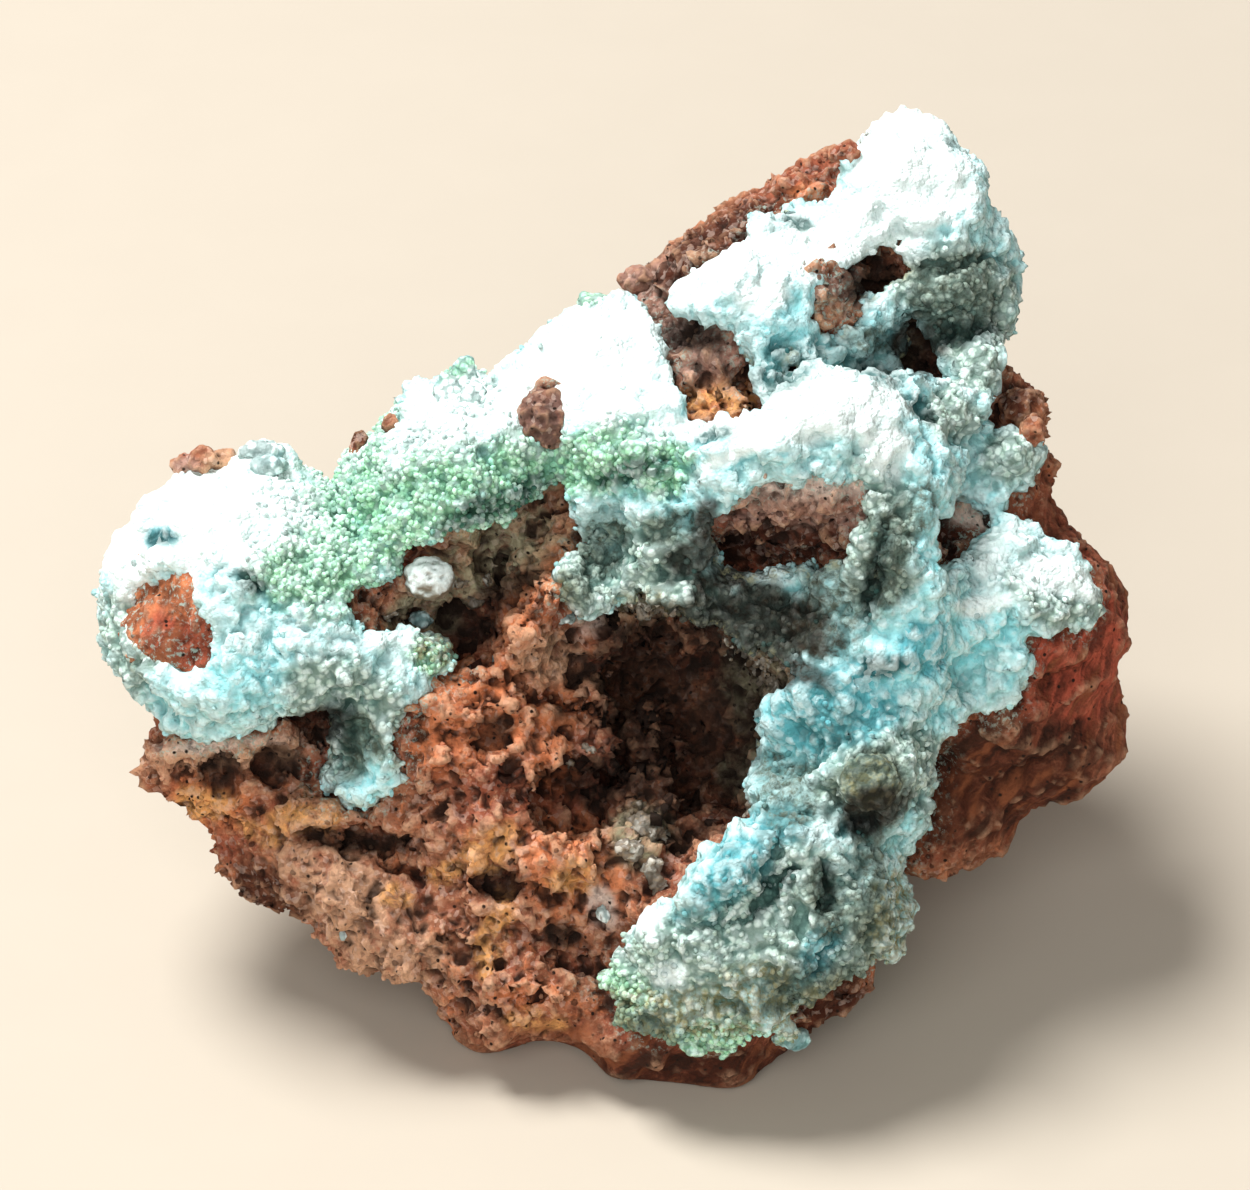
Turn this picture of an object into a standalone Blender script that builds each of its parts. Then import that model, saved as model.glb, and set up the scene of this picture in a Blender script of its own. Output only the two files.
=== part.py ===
"""A loose hand specimen: a sky-blue and green copper crust on a rusty, porous gossan.

The rock is one lump of gossan with two deep vugs. A crust of fine crystals covers its
upper front, broken through in places to the brown rock. A pale nodule sits at the mouth
of the smaller vug. It is modelled in metres, +Z up, resting on a flat face at z = 0.
"""

import math

import bmesh
import bpy
from mathutils import Matrix, Vector, noise

MM = 0.001

# The display face is the side that carries the crust. It leans back from the vertical,
# and places on it are given in millimetres as (across, up, out), from its middle.
FACE_LEAN = math.radians(35)
FACE_HEIGHT = 28 * MM

ROCK_VOXEL = 0.8 * MM
ROCK_TRIANGLES = 5450
ROUND_LUMP = 3
FLAT_FACED_LUMP = 1
SMOOTH_FACTOR = 0.5
LUMP_SMOOTHING = 2
RELIEF_SMOOTHING = 1
CRUST_THICKNESS = 1.8 * MM
CRUST_GAP = 0.9 * MM
NODULE_GAP = 0.45 * MM
CRUST_BACK = -9 * MM
CRUST_FOOT = 1.2 * MM
CRUST_VOXEL = 0.7 * MM
CRUST_FINE_VOXEL = 0.5 * MM
CRUST_TRIANGLES = 4100
NODULE_VOXEL = 0.3 * MM
NODULE_TRIANGLES = 240
MERGE_DISTANCE = 0.0001 * MM

# Relief of each piece: kind of texture, size of its features, and height.
ROCK_RELIEF = (("CLOUDS", 6 * MM, 2.4 * MM), ("VORONOI", 4 * MM, 1.6 * MM))
CRUST_RELIEF = (("CLOUDS", 2.4 * MM, 1.2 * MM), ("VORONOI", 2.6 * MM, -0.9 * MM))
NODULE_RELIEF = (("CLOUDS", 1.2 * MM, 0.5 * MM),)

# The prisms that trim the crust reach from here to there along the out axis, in mm.
PRISM_FRONT = 30
EDGE_PRISM_BACK = -30
BREAK_PRISM_BACK = -12

# The uneven sheet behind the display face that ends the crust.
LIMIT_HALF_WIDTH = 50 * MM
LIMIT_DEPTH = 40 * MM
LIMIT_CELLS = 34
LIMIT_WAVE_LENGTH = 7 * MM
LIMIT_WAVE_HEIGHT = 3.5 * MM

GROUND_WIDTH = 200 * MM
GROUND_DEPTH = 100 * MM

# Colour, roughness and metallic of each piece.
GOSSAN = ((0.17, 0.065, 0.03), 0.9, 0.0)
CRUST = ((0.42, 0.72, 0.74), 0.75, 0.0)
PALE = ((0.82, 0.84, 0.8), 0.6, 0.0)

# Each lump is an ellipsoid: its middle, its half sizes, and its turn about the out axis.
ROCK_LUMPS = {
    "heart": ((0, -4, -9), (22, 18, 10), 0),
    "left_lobe": ((-26.6, -1.2, -1), (8, 8.2, 8), 0),
    "left_lobe_crest": ((-26.8, 3.2, -4), (6, 3.8, 5.2), -5),
    "left_knob": ((-28.8, 7.2, -3), (1.6, 1.5, 1.5), 0),
    "blue_knob": ((-25.3, 7.8, -3), (1.5, 1.5, 1.5), 10),
    "left_cheek": ((-20, -3, 1), (5, 6, 6), 0),
    "left_heel": ((-27.5, -11, -3), (6.4, 5, 6), 20),
    "left_heel_low": ((-23.4, -16.2, -5), (6.4, 6.2, 5.6), -35),
    "shoulder": ((-11.6, 7, -1), (7.8, 4.8, 7.6), 45),
    "shoulder_crest": ((-12.2, 9.8, -5), (4.2, 3, 4.6), 22),
    "shoulder_horn": ((-11, 12.6, -4), (0.9, 2.4, 1.6), 0),
    "saddle": ((-2.6, 12.4, -2), (6.5, 4.6, 7), 35),
    "saddle_crest": ((0.2, 18.2, -7), (4.2, 2.8, 5), 35),
    "saddle_brow": ((1, 10, 2), (4.5, 4, 5), 0),
    "ridge": ((8, 18, -4), (9, 6.6, 7), 35),
    "ridge_crest": ((8.4, 23.2, -8), (9.5, 4.3, 5), 30),
    "ridge_crest_high": ((13.6, 27.3, -9), (5, 3.6, 5), 30),
    "peak": ((20.2, 25.4, -7), (4.6, 6.4, 5.6), 6),
    "peak_tip": ((20.4, 29.8, -8), (1.1, 2.9, 2.6), 0),
    "peak_flank": ((23.4, 23, -9), (2.8, 4.4, 5), 0),
    "right_edge": ((24.2, 13.4, -8), (3.2, 6.2, 5), -5),
    "brown_nodule": ((27.2, 13, -6), (2.5, 2.3, 2.4), 0),
    "blue_nodule_high": ((24.3, 15.8, -4), (2.4, 2.4, 2.4), 0),
    "blue_nodule": ((22.5, 12.3, -2), (2.7, 2.6, 2.6), 0),
    "blue_nodule_low": ((27, 9.6, -5), (2.5, 2.5, 2.5), 0),
    "right_neck": ((25.6, 7.4, -6), (5, 4, 5), 0),
    "dome": ((13.5, 8, 2), (8, 6.8, 9), -15),
    "dome_left": ((6, 7.5, 3), (6, 4, 6), 10),
    "dome_right": ((18.5, 3, 3), (3.2, 8, 7), 0),
    "right_lobe": ((26, -3.2, -6), (10, 9.9, 9), 10),
    "right_lobe_brow": ((25, -1, 0), (7, 4.5, 4), 0),
    "right_lobe_low": ((28.2, -9.4, -7), (8, 5.6, 7), -6),
    "right_keel": ((22.2, -14.7, -8), (6.4, 6.1, 5), 45),
    "column": ((16, -6, 2), (5, 7, 6), 0),
    "column_lump": ((16.5, -12.5, 4), (3.8, 3.4, 4), 0),
    "foot": ((8.2, -22.4, 2), (8, 7.4, 7), 35),
    "foot_ridge": ((10.5, -18.5, 5), (3.6, 5, 4), -35),
    "foot_finger": ((6, -18.5, 5), (2, 3.8, 2.6), -35),
    "foot_right": ((14.6, -20.8, 2), (3.1, 5.8, 5.2), 0),
    "foot_low": ((7.6, -27, 2.6), (7.4, 3.6, 5), 5),
    "toe": ((4.2, -30.6, -1), (8.2, 3.8, 6), 0),
    "toe_right": ((12, -27.4, -1), (4.4, 3.2, 5), 40),
    "rusty_face": ((-8, -15, -1), (10, 13, 7.5), 25),
    "septum": ((-6, -1, 3), (2.4, 8.5, 4), -25),
    "rusty_brow": ((-12, -9, 3), (4.8, 4.8, 4), 0),
    "rusty_low": ((-6, -25.5, -1), (7.5, 6.5, 6), -15),
    "rusty_corner": ((-9.4, -29.2, -3), (3.2, 3, 4), 0),
    "tan_lobe": ((-18.4, -21, 0), (3.9, 6.8, 4.5), 42),
    "tan_lobe_end": ((-15.4, -24.4, 1), (3, 2.6, 3), 0),
    "ochre_ledge": ((-17, -15.5, 1), (7, 1.8, 4), -5),
}

# The broken back and underside: coarse lumps with flat faces, in the same form.
BROKEN_LUMPS = {
    "underside": ((2, -18.5, -8), (18, 13, 14), 20),
    "underside_left": ((-13, -12, -9), (14, 12, 11), -25),
    "underside_right": ((16, -9, -13), (15, 11, 11), 30),
    "back_low": ((2, -7, -19), (19, 14, 11), 5),
    "back_left": ((-13, -2, -12), (13, 8, 9), 0),
    "back_high": ((6, 9, -16), (15, 11, 10), 30),
    "back_right": ((16, 13, -14), (9, 13, 9), -15),
    "back_peak": ((19, 22, -13), (6.5, 8, 7), 10),
}

HOLLOWS = {
    "main_vug": ((4.5, -9, 5), (6.5, 8.5, 12), -10),
    "vug_low_left": ((-2.5, -13.5, 5), (3.8, 2.8, 7), 0),
    "left_vug": ((-8, 2.2, 6), (5.8, 3, 11), 35),
    "left_vug_floor": ((-10.5, -1, 6), (3.6, 3, 9), 0),
    "teal_hollow": ((-1.3, 3.5, 8), (1.5, 2.6, 5), -15),
    "dome_break": ((11, 4.5, 12), (5.8, 3.6, 6), 0),
    "peak_hollow": ((20.5, 17.5, 0), (2.4, 3.4, 6), 15),
    "peak_break": ((16.5, 21.5, 2), (2.8, 2.4, 4), 0),
    "right_break": ((23, 4.3, 4), (2.4, 3.2, 5), -15),
    "crevice": ((-17.5, -18, 6), (4.8, 1.2, 5), -15),
    "pit": ((-9, -9.6, 8), (1.3, 1.3, 3.5), 0),
    "heel_pit": ((-21, -9, 6), (2.2, 1.8, 4), 0),
    "ledge_pit": ((-8.5, -20, 8), (1.9, 1.3, 3.5), 0),
}

# Small lumps that stand on the walls and floors of the hollows.
HOLLOW_LUMPS = {
    "roof_left": ((2, -0.6, 4), (2.6, 1.6, 3), 0),
    "roof_middle": ((6, -2.6, 2), (2.6, 2.2, 3.5), 0),
    "roof_right": ((9.5, -4.6, 2), (2, 2.4, 3.5), 20),
    "wall_grain": ((8.2, -7.2, 1.4), (1, 1.3, 1.4), 15),
    "wall_grain_low": ((8.4, -12.3, 2.6), (1, 0.9, 1.2), 0),
    "left_wall": ((-2, -7.6, 2), (2, 1.3, 3), 25),
    "left_ledge": ((-0.8, -11.2, 1), (2.4, 1, 3), 5),
    "floor_knob": ((1, -16.6, 2.4), (1.7, 1.6, 2), 0),
    "floor_ridge": ((4.6, -15, -1), (2.4, 2.6, 3), 30),
    "floor_back": ((3, -9.5, -3.4), (2.4, 1.4, 1.6), 0),
    "left_vug_grain": ((-10, 0.4, 1), (1.2, 1, 1.4), 0),
    "left_vug_back": ((-7, 3, -1), (1.6, 1.2, 2), 0),
    "nodule_seat": ((-13.4, 0.8, 1), (1.9, 1.5, 2.4), 0),
    "dome_break_lump": ((9, 4, 7), (1.8, 1.3, 1.8), 10),
    "dome_break_ledge": ((13.5, 3.2, 7), (2.2, 1, 2), -5),
}

NODULE = ((-13.4, 1.2, 5), (1.8, 1.5, 1.7), 0)

# The crust's edge on the display face, as (across, up). Points past the rock's own outline
# let the crust run over the edge and on round the back.
CRUST_EDGE = (
    (-40, -3), (-40, 8), (-37, 15), (-22, 15), (-17, 20), (-8, 22), (-3.5, 20), (0, 21),
    (1.2, 20.3), (2.3, 18), (3, 15), (3.5, 12.5), (4.2, 11.5), (5.5, 11.2), (7.5, 12),
    (8.8, 13), (8.8, 18), (6.5, 19), (5, 19), (3.5, 20.5), (3, 21.8), (4.5, 22), (7, 24),
    (9, 25), (10, 27), (12, 27.5), (14.5, 27), (15.2, 28.5), (15, 30.5), (17, 31.2),
    (17, 38), (24, 40), (26, 33), (25, 29), (25.6, 26.5), (26.5, 25.5), (31, 27),
    (31, 19), (26.5, 18.5), (26, 16), (25.2, 14.6), (25, 12), (26.5, 11), (28.8, 11.2),
    (29, 7.6), (26, 6.5), (26.5, 5), (28, 4.8), (31, 3.5), (32.5, 1.5), (33, -0.5),
    (32, -1.5), (29, -2), (27.5, -3), (27.3, -6), (26.8, -7.5), (24, -8), (22, -9),
    (21.5, -10.5), (20.7, -13), (20.5, -15), (21.3, -16.5), (19.3, -16.3), (19.5, -20),
    (19, -25), (16, -24.5), (14, -26), (12.5, -27.5), (11.5, -30.5),
    (9, -30), (6.5, -31), (4, -30.3), (1, -30), (-1, -28), (-2, -26),
    (0, -24.5), (0.5, -22.5), (3, -20.5), (5, -18.5), (7, -16), (9, -15.5), (8.5, -13.5),
    (9.5, -10), (9.5, -8), (11, -6.5), (13.5, -5.5), (10, -4.5), (8, -3), (5, -2), (2, 0),
    (0, 1), (-1, 0), (-3, -1.5), (-3.8, -1), (-3.7, 1), (-3.5, 4), (-2.8, 6.3),
    (-4.5, 8.5), (-5.5, 7.5), (-7, 6), (-9, 5), (-11, 4.5), (-13, 3.5), (-15, 3),
    (-16.5, 2), (-17.5, 1), (-19, 0), (-19, -2.5), (-16, -2.5), (-14, -2.5),
    (-12.5, -3), (-11.5, -4.5), (-13.5, -5), (-15, -6.5), (-15.8, -9), (-16, -12.5),
    (-17.5, -13.8), (-19.5, -13.5), (-21, -12), (-20.3, -10.5), (-19.3, -8.5),
    (-20.5, -7.3), (-22.5, -7.8), (-24.5, -9), (-28, -9.8), (-31.5, -9.3), (-33, -7.5),
    (-34.5, -5.5), (-36.5, -3.8),
)

# Places where the crust has broken away from the rock.
CRUST_BREAKS = {
    "left_lobe": (
        (-34.8, 0.5), (-33, 0.8), (-31.5, 2), (-30, 1.5), (-29.3, -0.5), (-27.5, -2),
        (-27.3, -3.5), (-28.3, -5), (-30.5, -4.8), (-33, -4), (-34.5, -2),
    ),
    "saddle": ((-6.8, 13.5), (-5.5, 14), (-4.3, 13.3), (-4, 11.2), (-5, 10.3), (-6.8, 10.8)),
    "peak": (
        (12.7, 21.5), (14.5, 21.8), (15.5, 23.3), (17.5, 24.3), (19.5, 23.5), (20, 22.5),
        (17.5, 20.5), (16, 18.5), (14, 17.3), (13, 18.3),
    ),
    "peak_hollow": ((19, 20), (21, 19.5), (22, 17), (22.7, 15), (20.5, 14.5), (19, 16)),
    "right": (
        (21.5, 6.5), (23.5, 7.2), (25, 6), (26, 4.8), (24, 3.5), (23, 2), (21.3, 1), (20.7, 3),
    ),
    "dome": (
        (5.5, 3), (6, 5.5), (8, 7), (10, 8.3), (13, 8.2), (17, 8.3), (17, 5.5), (15.5, 4),
        (15, 2), (12, 0.8), (9, 1), (6.5, 1.2),
    ),
}


def face_matrix():
    """Turns (across, up, out) on the display face into the part's own frame."""
    across = Vector((1, 0, 0))
    up = Vector((0, math.sin(FACE_LEAN), math.cos(FACE_LEAN)))
    out = Vector((0, -math.cos(FACE_LEAN), math.sin(FACE_LEAN)))
    turned = Matrix((across, up, out)).transposed().to_4x4()
    return Matrix.Translation((0, 0, FACE_HEIGHT)) @ turned


def clear_scene():
    for thing in list(bpy.data.objects):
        bpy.data.objects.remove(thing, do_unlink=True)


def lump_matrix(place, half_sizes, turn):
    sizes = Matrix.Diagonal(Vector(half_sizes) * MM).to_4x4()
    turned = Matrix.Rotation(math.radians(turn), 4, "Z")
    return face_matrix() @ Matrix.Translation(Vector(place) * MM) @ turned @ sizes


def lumps(name, table, collection, subdivisions=ROUND_LUMP):
    """One object with an icosphere for each lump of the table."""
    shape = bmesh.new()
    for place, half_sizes, turn in table:
        matrix = lump_matrix(place, half_sizes, turn)
        bmesh.ops.create_icosphere(shape, subdivisions=subdivisions, radius=1, matrix=matrix)
    mesh = bpy.data.meshes.new(name)
    shape.to_mesh(mesh)
    shape.free()
    return link(name, mesh, collection)


def link(name, data, collection):
    made = bpy.data.objects.new(name, data)
    collection.objects.link(made)
    return made


def hide(helper):
    helper.hide_render = True
    helper.display_type = "WIRE"
    return helper


def add_remesh(target, voxel):
    remesh = target.modifiers.new("Union", "REMESH")
    remesh.mode = "VOXEL"
    remesh.voxel_size = voxel


def add_smooth(target, iterations):
    smooth = target.modifiers.new("Blend", "SMOOTH")
    smooth.factor = SMOOTH_FACTOR
    smooth.iterations = iterations


def add_relief(target, relief):
    """Moves the skin in and out by each texture of the relief."""
    for kind, size, height in relief:
        texture = bpy.data.textures.new(f"{target.name}_{kind.lower()}", kind)
        texture.noise_scale = size
        rough = target.modifiers.new(kind.title(), "DISPLACE")
        rough.texture = texture
        rough.texture_coords = "LOCAL"
        rough.strength = height
        rough.mid_level = 0.5


def add_swelling(target, distance):
    swell = target.modifiers.new("Swell", "DISPLACE")
    swell.strength = distance
    swell.mid_level = 0


def add_boolean(target, other, operation):
    cut = target.modifiers.new(other.name, "BOOLEAN")
    cut.operation = operation
    cut.solver = "EXACT"
    cut.object = other


def settled(thing):
    """A mesh of the object as its modifiers leave it."""
    graph = bpy.context.evaluated_depsgraph_get()
    graph.update()
    return bpy.data.meshes.new_from_object(thing.evaluated_get(graph))


def add_decimate(target, triangles):
    """Thins the mesh to about that many triangles."""
    mesh = settled(target)
    mesh.calc_loop_triangles()
    thin = target.modifiers.new("Thin", "DECIMATE")
    thin.ratio = triangles / len(mesh.loop_triangles)
    bpy.data.meshes.remove(mesh)


def ground(name, height, collection):
    """A block with its level top at the height, to cut off what lies below."""
    shape = bmesh.new()
    bmesh.ops.create_cube(shape, size=1)
    size = (GROUND_WIDTH, GROUND_WIDTH, GROUND_DEPTH)
    bmesh.ops.scale(shape, verts=shape.verts, vec=size)
    bmesh.ops.translate(shape, verts=shape.verts, vec=(0, 0, height - GROUND_DEPTH / 2))
    mesh = bpy.data.meshes.new(name)
    shape.to_mesh(mesh)
    shape.free()
    return hide(link(name, mesh, collection))


def prism(name, points, back, collection):
    """A prism along the out axis, from the front to the back, with the points as outline."""
    curve = bpy.data.curves.new(name, "CURVE")
    curve.dimensions = "2D"
    curve.fill_mode = "BOTH"
    curve.extrude = (PRISM_FRONT - back) / 2 * MM
    outline = curve.splines.new("POLY")
    outline.points.add(len(points) - 1)
    for point, (across, up) in zip(outline.points, points):
        point.co = (across * MM, up * MM, 0, 1)
    outline.use_cyclic_u = True
    drawn = link(name, curve, collection)
    middle = (PRISM_FRONT + back) / 2 * MM
    drawn.matrix_world = face_matrix() @ Matrix.Translation((0, 0, middle))
    shape = bmesh.new()
    shape.from_mesh(settled(drawn))
    bmesh.ops.remove_doubles(shape, verts=shape.verts, dist=MERGE_DISTANCE)
    bmesh.ops.recalc_face_normals(shape, faces=shape.faces)
    bmesh.ops.transform(shape, matrix=drawn.matrix_world, verts=shape.verts)
    mesh = bpy.data.meshes.new(name)
    shape.to_mesh(mesh)
    shape.free()
    bpy.data.objects.remove(drawn)
    return hide(link(name, mesh, collection))


def back_limit(collection):
    """A block behind the display face, with an uneven front that ends the crust there."""
    shape = bmesh.new()
    bmesh.ops.create_grid(
        shape, x_segments=LIMIT_CELLS, y_segments=LIMIT_CELLS, size=LIMIT_HALF_WIDTH
    )
    for vertex in shape.verts:
        vertex.co.z = LIMIT_WAVE_HEIGHT * noise.noise(vertex.co / LIMIT_WAVE_LENGTH)
    edge = [edge for edge in shape.edges if edge.is_boundary]
    grown = bmesh.ops.extrude_edge_only(shape, edges=edge)
    lowered = [item for item in grown["geom"] if isinstance(item, bmesh.types.BMVert)]
    for vertex in lowered:
        vertex.co.z = -LIMIT_DEPTH
    rim = [edge for edge in shape.edges if edge.is_boundary]
    bmesh.ops.holes_fill(shape, edges=rim, sides=0)
    bmesh.ops.translate(shape, verts=shape.verts, vec=(0, 0, CRUST_BACK))
    bmesh.ops.recalc_face_normals(shape, faces=shape.faces)
    bmesh.ops.transform(shape, matrix=face_matrix(), verts=shape.verts)
    mesh = bpy.data.meshes.new("crust_back_limit")
    shape.to_mesh(mesh)
    shape.free()
    return hide(link("crust_back_limit", mesh, collection))


def keep_largest_piece(mesh):
    """Drops every loose crumb that the cuts leave."""
    shape = bmesh.new()
    shape.from_mesh(mesh)
    left = set(shape.verts)
    pieces = []
    while left:
        piece = {left.pop()}
        front = list(piece)
        while front:
            vertex = front.pop()
            for edge in vertex.link_edges:
                other = edge.other_vert(vertex)
                if other not in piece:
                    piece.add(other)
                    front.append(other)
        left -= piece
        pieces.append(piece)
    pieces.sort(key=len, reverse=True)
    for piece in pieces[1:]:
        bmesh.ops.delete(shape, geom=list(piece), context="VERTS")
    shape.to_mesh(mesh)
    shape.free()


def bake(thing):
    """Gives the object the mesh that its modifiers make, as one piece."""
    mesh = settled(thing)
    mesh.name = thing.name
    thing.data = mesh
    thing.modifiers.clear()
    keep_largest_piece(mesh)


def joined(name, meshes, collection):
    shape = bmesh.new()
    for mesh in meshes:
        shape.from_mesh(mesh)
    mesh = bpy.data.meshes.new(name)
    shape.to_mesh(mesh)
    shape.free()
    return link(name, mesh, collection)


def give_material(thing, name, look):
    colour, roughness, metallic = look
    material = bpy.data.materials.new(name)
    material.use_nodes = True
    shader = material.node_tree.nodes["Principled BSDF"]
    shader.inputs["Base Color"].default_value = (*colour, 1)
    shader.inputs["Roughness"].default_value = roughness
    shader.inputs["Metallic"].default_value = metallic
    thing.data.materials.clear()
    thing.data.materials.append(material)


def rock_grown(rock, distance, name, collection):
    """The rock with its skin moved outward by the distance."""
    swollen = hide(link(name, rock.data.copy(), collection))
    add_swelling(swollen, distance)
    grown = hide(joined(name, (rock.data, settled(swollen)), collection))
    bpy.data.objects.remove(swollen)
    add_remesh(grown, CRUST_VOXEL)
    return grown


def make_rock(parts, cutters):
    front = hide(lumps("front_lumps", ROCK_LUMPS.values(), cutters))
    back = hide(lumps("broken_lumps", BROKEN_LUMPS.values(), cutters, FLAT_FACED_LUMP))
    solid = hide(joined("rock_lumps", (front.data, back.data), cutters))
    add_remesh(solid, ROCK_VOXEL)
    add_smooth(solid, LUMP_SMOOTHING)
    hollows = hide(lumps("hollows", HOLLOWS.values(), cutters))
    add_remesh(hollows, ROCK_VOXEL)
    add_boolean(solid, hollows, "DIFFERENCE")
    inner = hide(lumps("hollow_lumps", HOLLOW_LUMPS.values(), cutters))
    rock = joined("gossan_matrix", (settled(solid), inner.data), parts)
    add_remesh(rock, ROCK_VOXEL)
    add_relief(rock, ROCK_RELIEF)
    add_remesh(rock, ROCK_VOXEL)
    add_smooth(rock, RELIEF_SMOOTHING)
    add_decimate(rock, ROCK_TRIANGLES)
    add_boolean(rock, ground("ground", 0, cutters), "DIFFERENCE")
    bake(rock)
    give_material(rock, "gossan_brown", GOSSAN)
    return rock


def make_crust(rock, parts, cutters):
    """A skin over the rock, inside the crust's edge and clear of its breaks."""
    outside = rock_grown(rock, CRUST_THICKNESS, "crust_outside", cutters)
    crust = link("copper_crust", settled(outside), parts)
    add_relief(crust, CRUST_RELIEF)
    add_remesh(crust, CRUST_VOXEL)
    add_boolean(crust, prism("crust_edge", CRUST_EDGE, EDGE_PRISM_BACK, cutters), "INTERSECT")
    inside = rock_grown(rock, CRUST_GAP, "crust_inside", cutters)
    add_boolean(crust, inside, "DIFFERENCE")
    gaps = [
        prism(name, points, BREAK_PRISM_BACK, cutters).data
        for name, points in CRUST_BREAKS.items()
    ]
    add_boolean(crust, hide(joined("crust_breaks", gaps, cutters)), "DIFFERENCE")
    add_remesh(crust, CRUST_FINE_VOXEL)
    add_boolean(crust, back_limit(cutters), "DIFFERENCE")
    add_boolean(crust, ground("ground_below_crust", CRUST_FOOT, cutters), "DIFFERENCE")
    add_remesh(crust, CRUST_FINE_VOXEL)
    add_decimate(crust, CRUST_TRIANGLES)
    bake(crust)
    give_material(crust, "crust_blue", CRUST)


def make_nodule(rock, parts, cutters):
    """The pale nodule, on its seat at the mouth of the smaller vug."""
    nodule = lumps("pale_nodule", (NODULE,), parts)
    add_relief(nodule, NODULE_RELIEF)
    seat = rock_grown(rock, NODULE_GAP, "nodule_seat", cutters)
    add_boolean(nodule, seat, "DIFFERENCE")
    add_remesh(nodule, NODULE_VOXEL)
    add_decimate(nodule, NODULE_TRIANGLES)
    bake(nodule)
    give_material(nodule, "nodule_white", PALE)


def main():
    clear_scene()
    parts = bpy.data.collections.new("Specimen")
    cutters = bpy.data.collections.new("Cutters")
    for made in (parts, cutters):
        bpy.context.scene.collection.children.link(made)
    rock = make_rock(parts, cutters)
    make_crust(rock, parts, cutters)
    make_nodule(rock, parts, cutters)


main()
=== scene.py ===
"""Looks of the copper-crusted gossan specimen: crust, rock, nodule, vug grains and stage."""

import math

import bpy
import numpy as np
from mathutils import Matrix, Vector, noise
from mathutils.bvhtree import BVHTree
from mathutils.kdtree import KDTree


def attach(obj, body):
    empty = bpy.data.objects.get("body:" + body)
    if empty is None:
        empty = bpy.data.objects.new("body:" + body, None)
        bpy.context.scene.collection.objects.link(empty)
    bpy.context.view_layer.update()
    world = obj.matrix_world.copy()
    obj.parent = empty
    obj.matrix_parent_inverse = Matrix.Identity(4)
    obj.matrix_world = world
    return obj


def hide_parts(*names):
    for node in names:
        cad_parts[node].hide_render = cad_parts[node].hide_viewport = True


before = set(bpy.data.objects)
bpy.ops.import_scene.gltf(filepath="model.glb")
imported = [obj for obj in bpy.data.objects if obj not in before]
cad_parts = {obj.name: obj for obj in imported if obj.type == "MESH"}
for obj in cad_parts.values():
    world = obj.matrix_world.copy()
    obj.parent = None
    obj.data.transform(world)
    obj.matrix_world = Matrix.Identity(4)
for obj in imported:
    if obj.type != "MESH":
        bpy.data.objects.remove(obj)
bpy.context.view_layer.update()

bl_info = {
    "name": "Copper-crusted gossan specimen",
    "version": (1, 0, 0),
    "blender": (4, 5, 0),
    "location": "3D View > Sidebar > Specimen",
    "description": "Builds the crust, rock, nodule and grains of a mineral hand specimen",
    "category": "Object",
}

MM = 0.001

# The display face leans back from the vertical. Places on it are (across, up, out) in mm.
FACE_LEAN = math.radians(35)
FACE_HEIGHT = 28 * MM

# The camera looks straight at the display face from this far, in metres, and shows it at
# the photo's scale.
VIEW_DISTANCE = 0.35
PICTURE_WIDTH_PX = 1250
PIXELS_PER_MM = 14.4
SENSOR_MM = 36

# Vertex weights are kept in this many steps.
WEIGHT_STEPS = 60

# The rock's mesh is thinned to at most this many triangles.
MOST_TRIANGLES = 190000

# Corners of a CAD node closer than this are one.
MERGE_DISTANCE = 0.001 * MM

# Heights over the floor, in mm, between which the relief fades in.
RESTING_FADE = (0.2, 2.2)

# Where the front's zones and the back's tones fade, in mm out from the display face.
FRONT_FADE = (-16, -11)
BACK_FADE = (-14, -8)

# Seed of the uneven edges of the rock's zones.
ROCK_SEED = 3.0

# Pores are cut only further out than this, in mm, and only those wider than this share.
PORES_FROM = -20
LEAST_PORE = 0.62

# This share of the crust's faces is left when its mesh is thinned.
CRUST_KEPT = 0.4

# Grains tried for in a square as wide as their spacing.
CROWDING = 1.2

# Lumps are looked for from this far out, in mm, and moved at most this far. Their centres
# stand off the surface by at most this share of their smallest half size.
LOOK_FROM = 20
FARTHEST_SEAT = 8 * MM
LUMP_RISE = 0.2

# The streaks follow the slope of the right-hand lobe.
STREAK_TURN = (0, math.radians(35), math.radians(20))

# How much a surface mirrors: the crust and the rock, then all others.
MATTE = 0.2
DULL = 0.5

# The floor's side and middle, and where the camera's view begins, in metres.
FLOOR_SIZE = 3
FLOOR_PLACE = (0, 0.4, 0)
CLIP_START = 0.01

# Name, place, size in metres and power in watts.
LIGHTS = (
    ("key", (-0.30, 0.18, 0.80), 0.36, 12),
    ("fill", (-0.06, -0.40, 0.28), 0.4, 1.5),
)

# The light from all around.
SKY_TINT = (1, 0.97, 0.93, 1)
SKY_STRENGTH = 0.24

# Coats of the crust, in order: zone, low and high value of the fine noise, the coat's share at
# either, tone, and how far the tone darkens what is below, or 0 where it covers it.
# The coats that darken the valleys and deep hollows and that brown the overhanging rims are
# painted shade; the grey and dusky coats are partly painted shade, and the white coat partly a
# painted highlight.
CRUST_COATS = (
    ("blue", 0.25, 0.6, 0, 1, "turquoise", 0),
    ("grey", 0, 1, 1, 1, "grey_green", 0),
    ("green", 0.2, 0.55, 0, 1, "green", 0),
    ("valley", 0, 1, 0.5, 0.5, "turquoise", 0.75),
    ("olive", 0.38, 0.6, 0, 1, "olive", 0),
    ("bleached", 0.2, 0.5, 0.6, 1, "chalk", 0),
    ("cyan", 0.25, 0.5, 0.5, 0.9, "cyan", 0),
    ("dusk", 0.35, 0.6, 0.95, 0.45, "dusk", 0),
    ("stained", 0.3, 0.6, 1, 0.88, "stain", 0),
    ("deep", 0.25, 0.5, 0.6, 1, "teal", 0.85),
)

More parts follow.
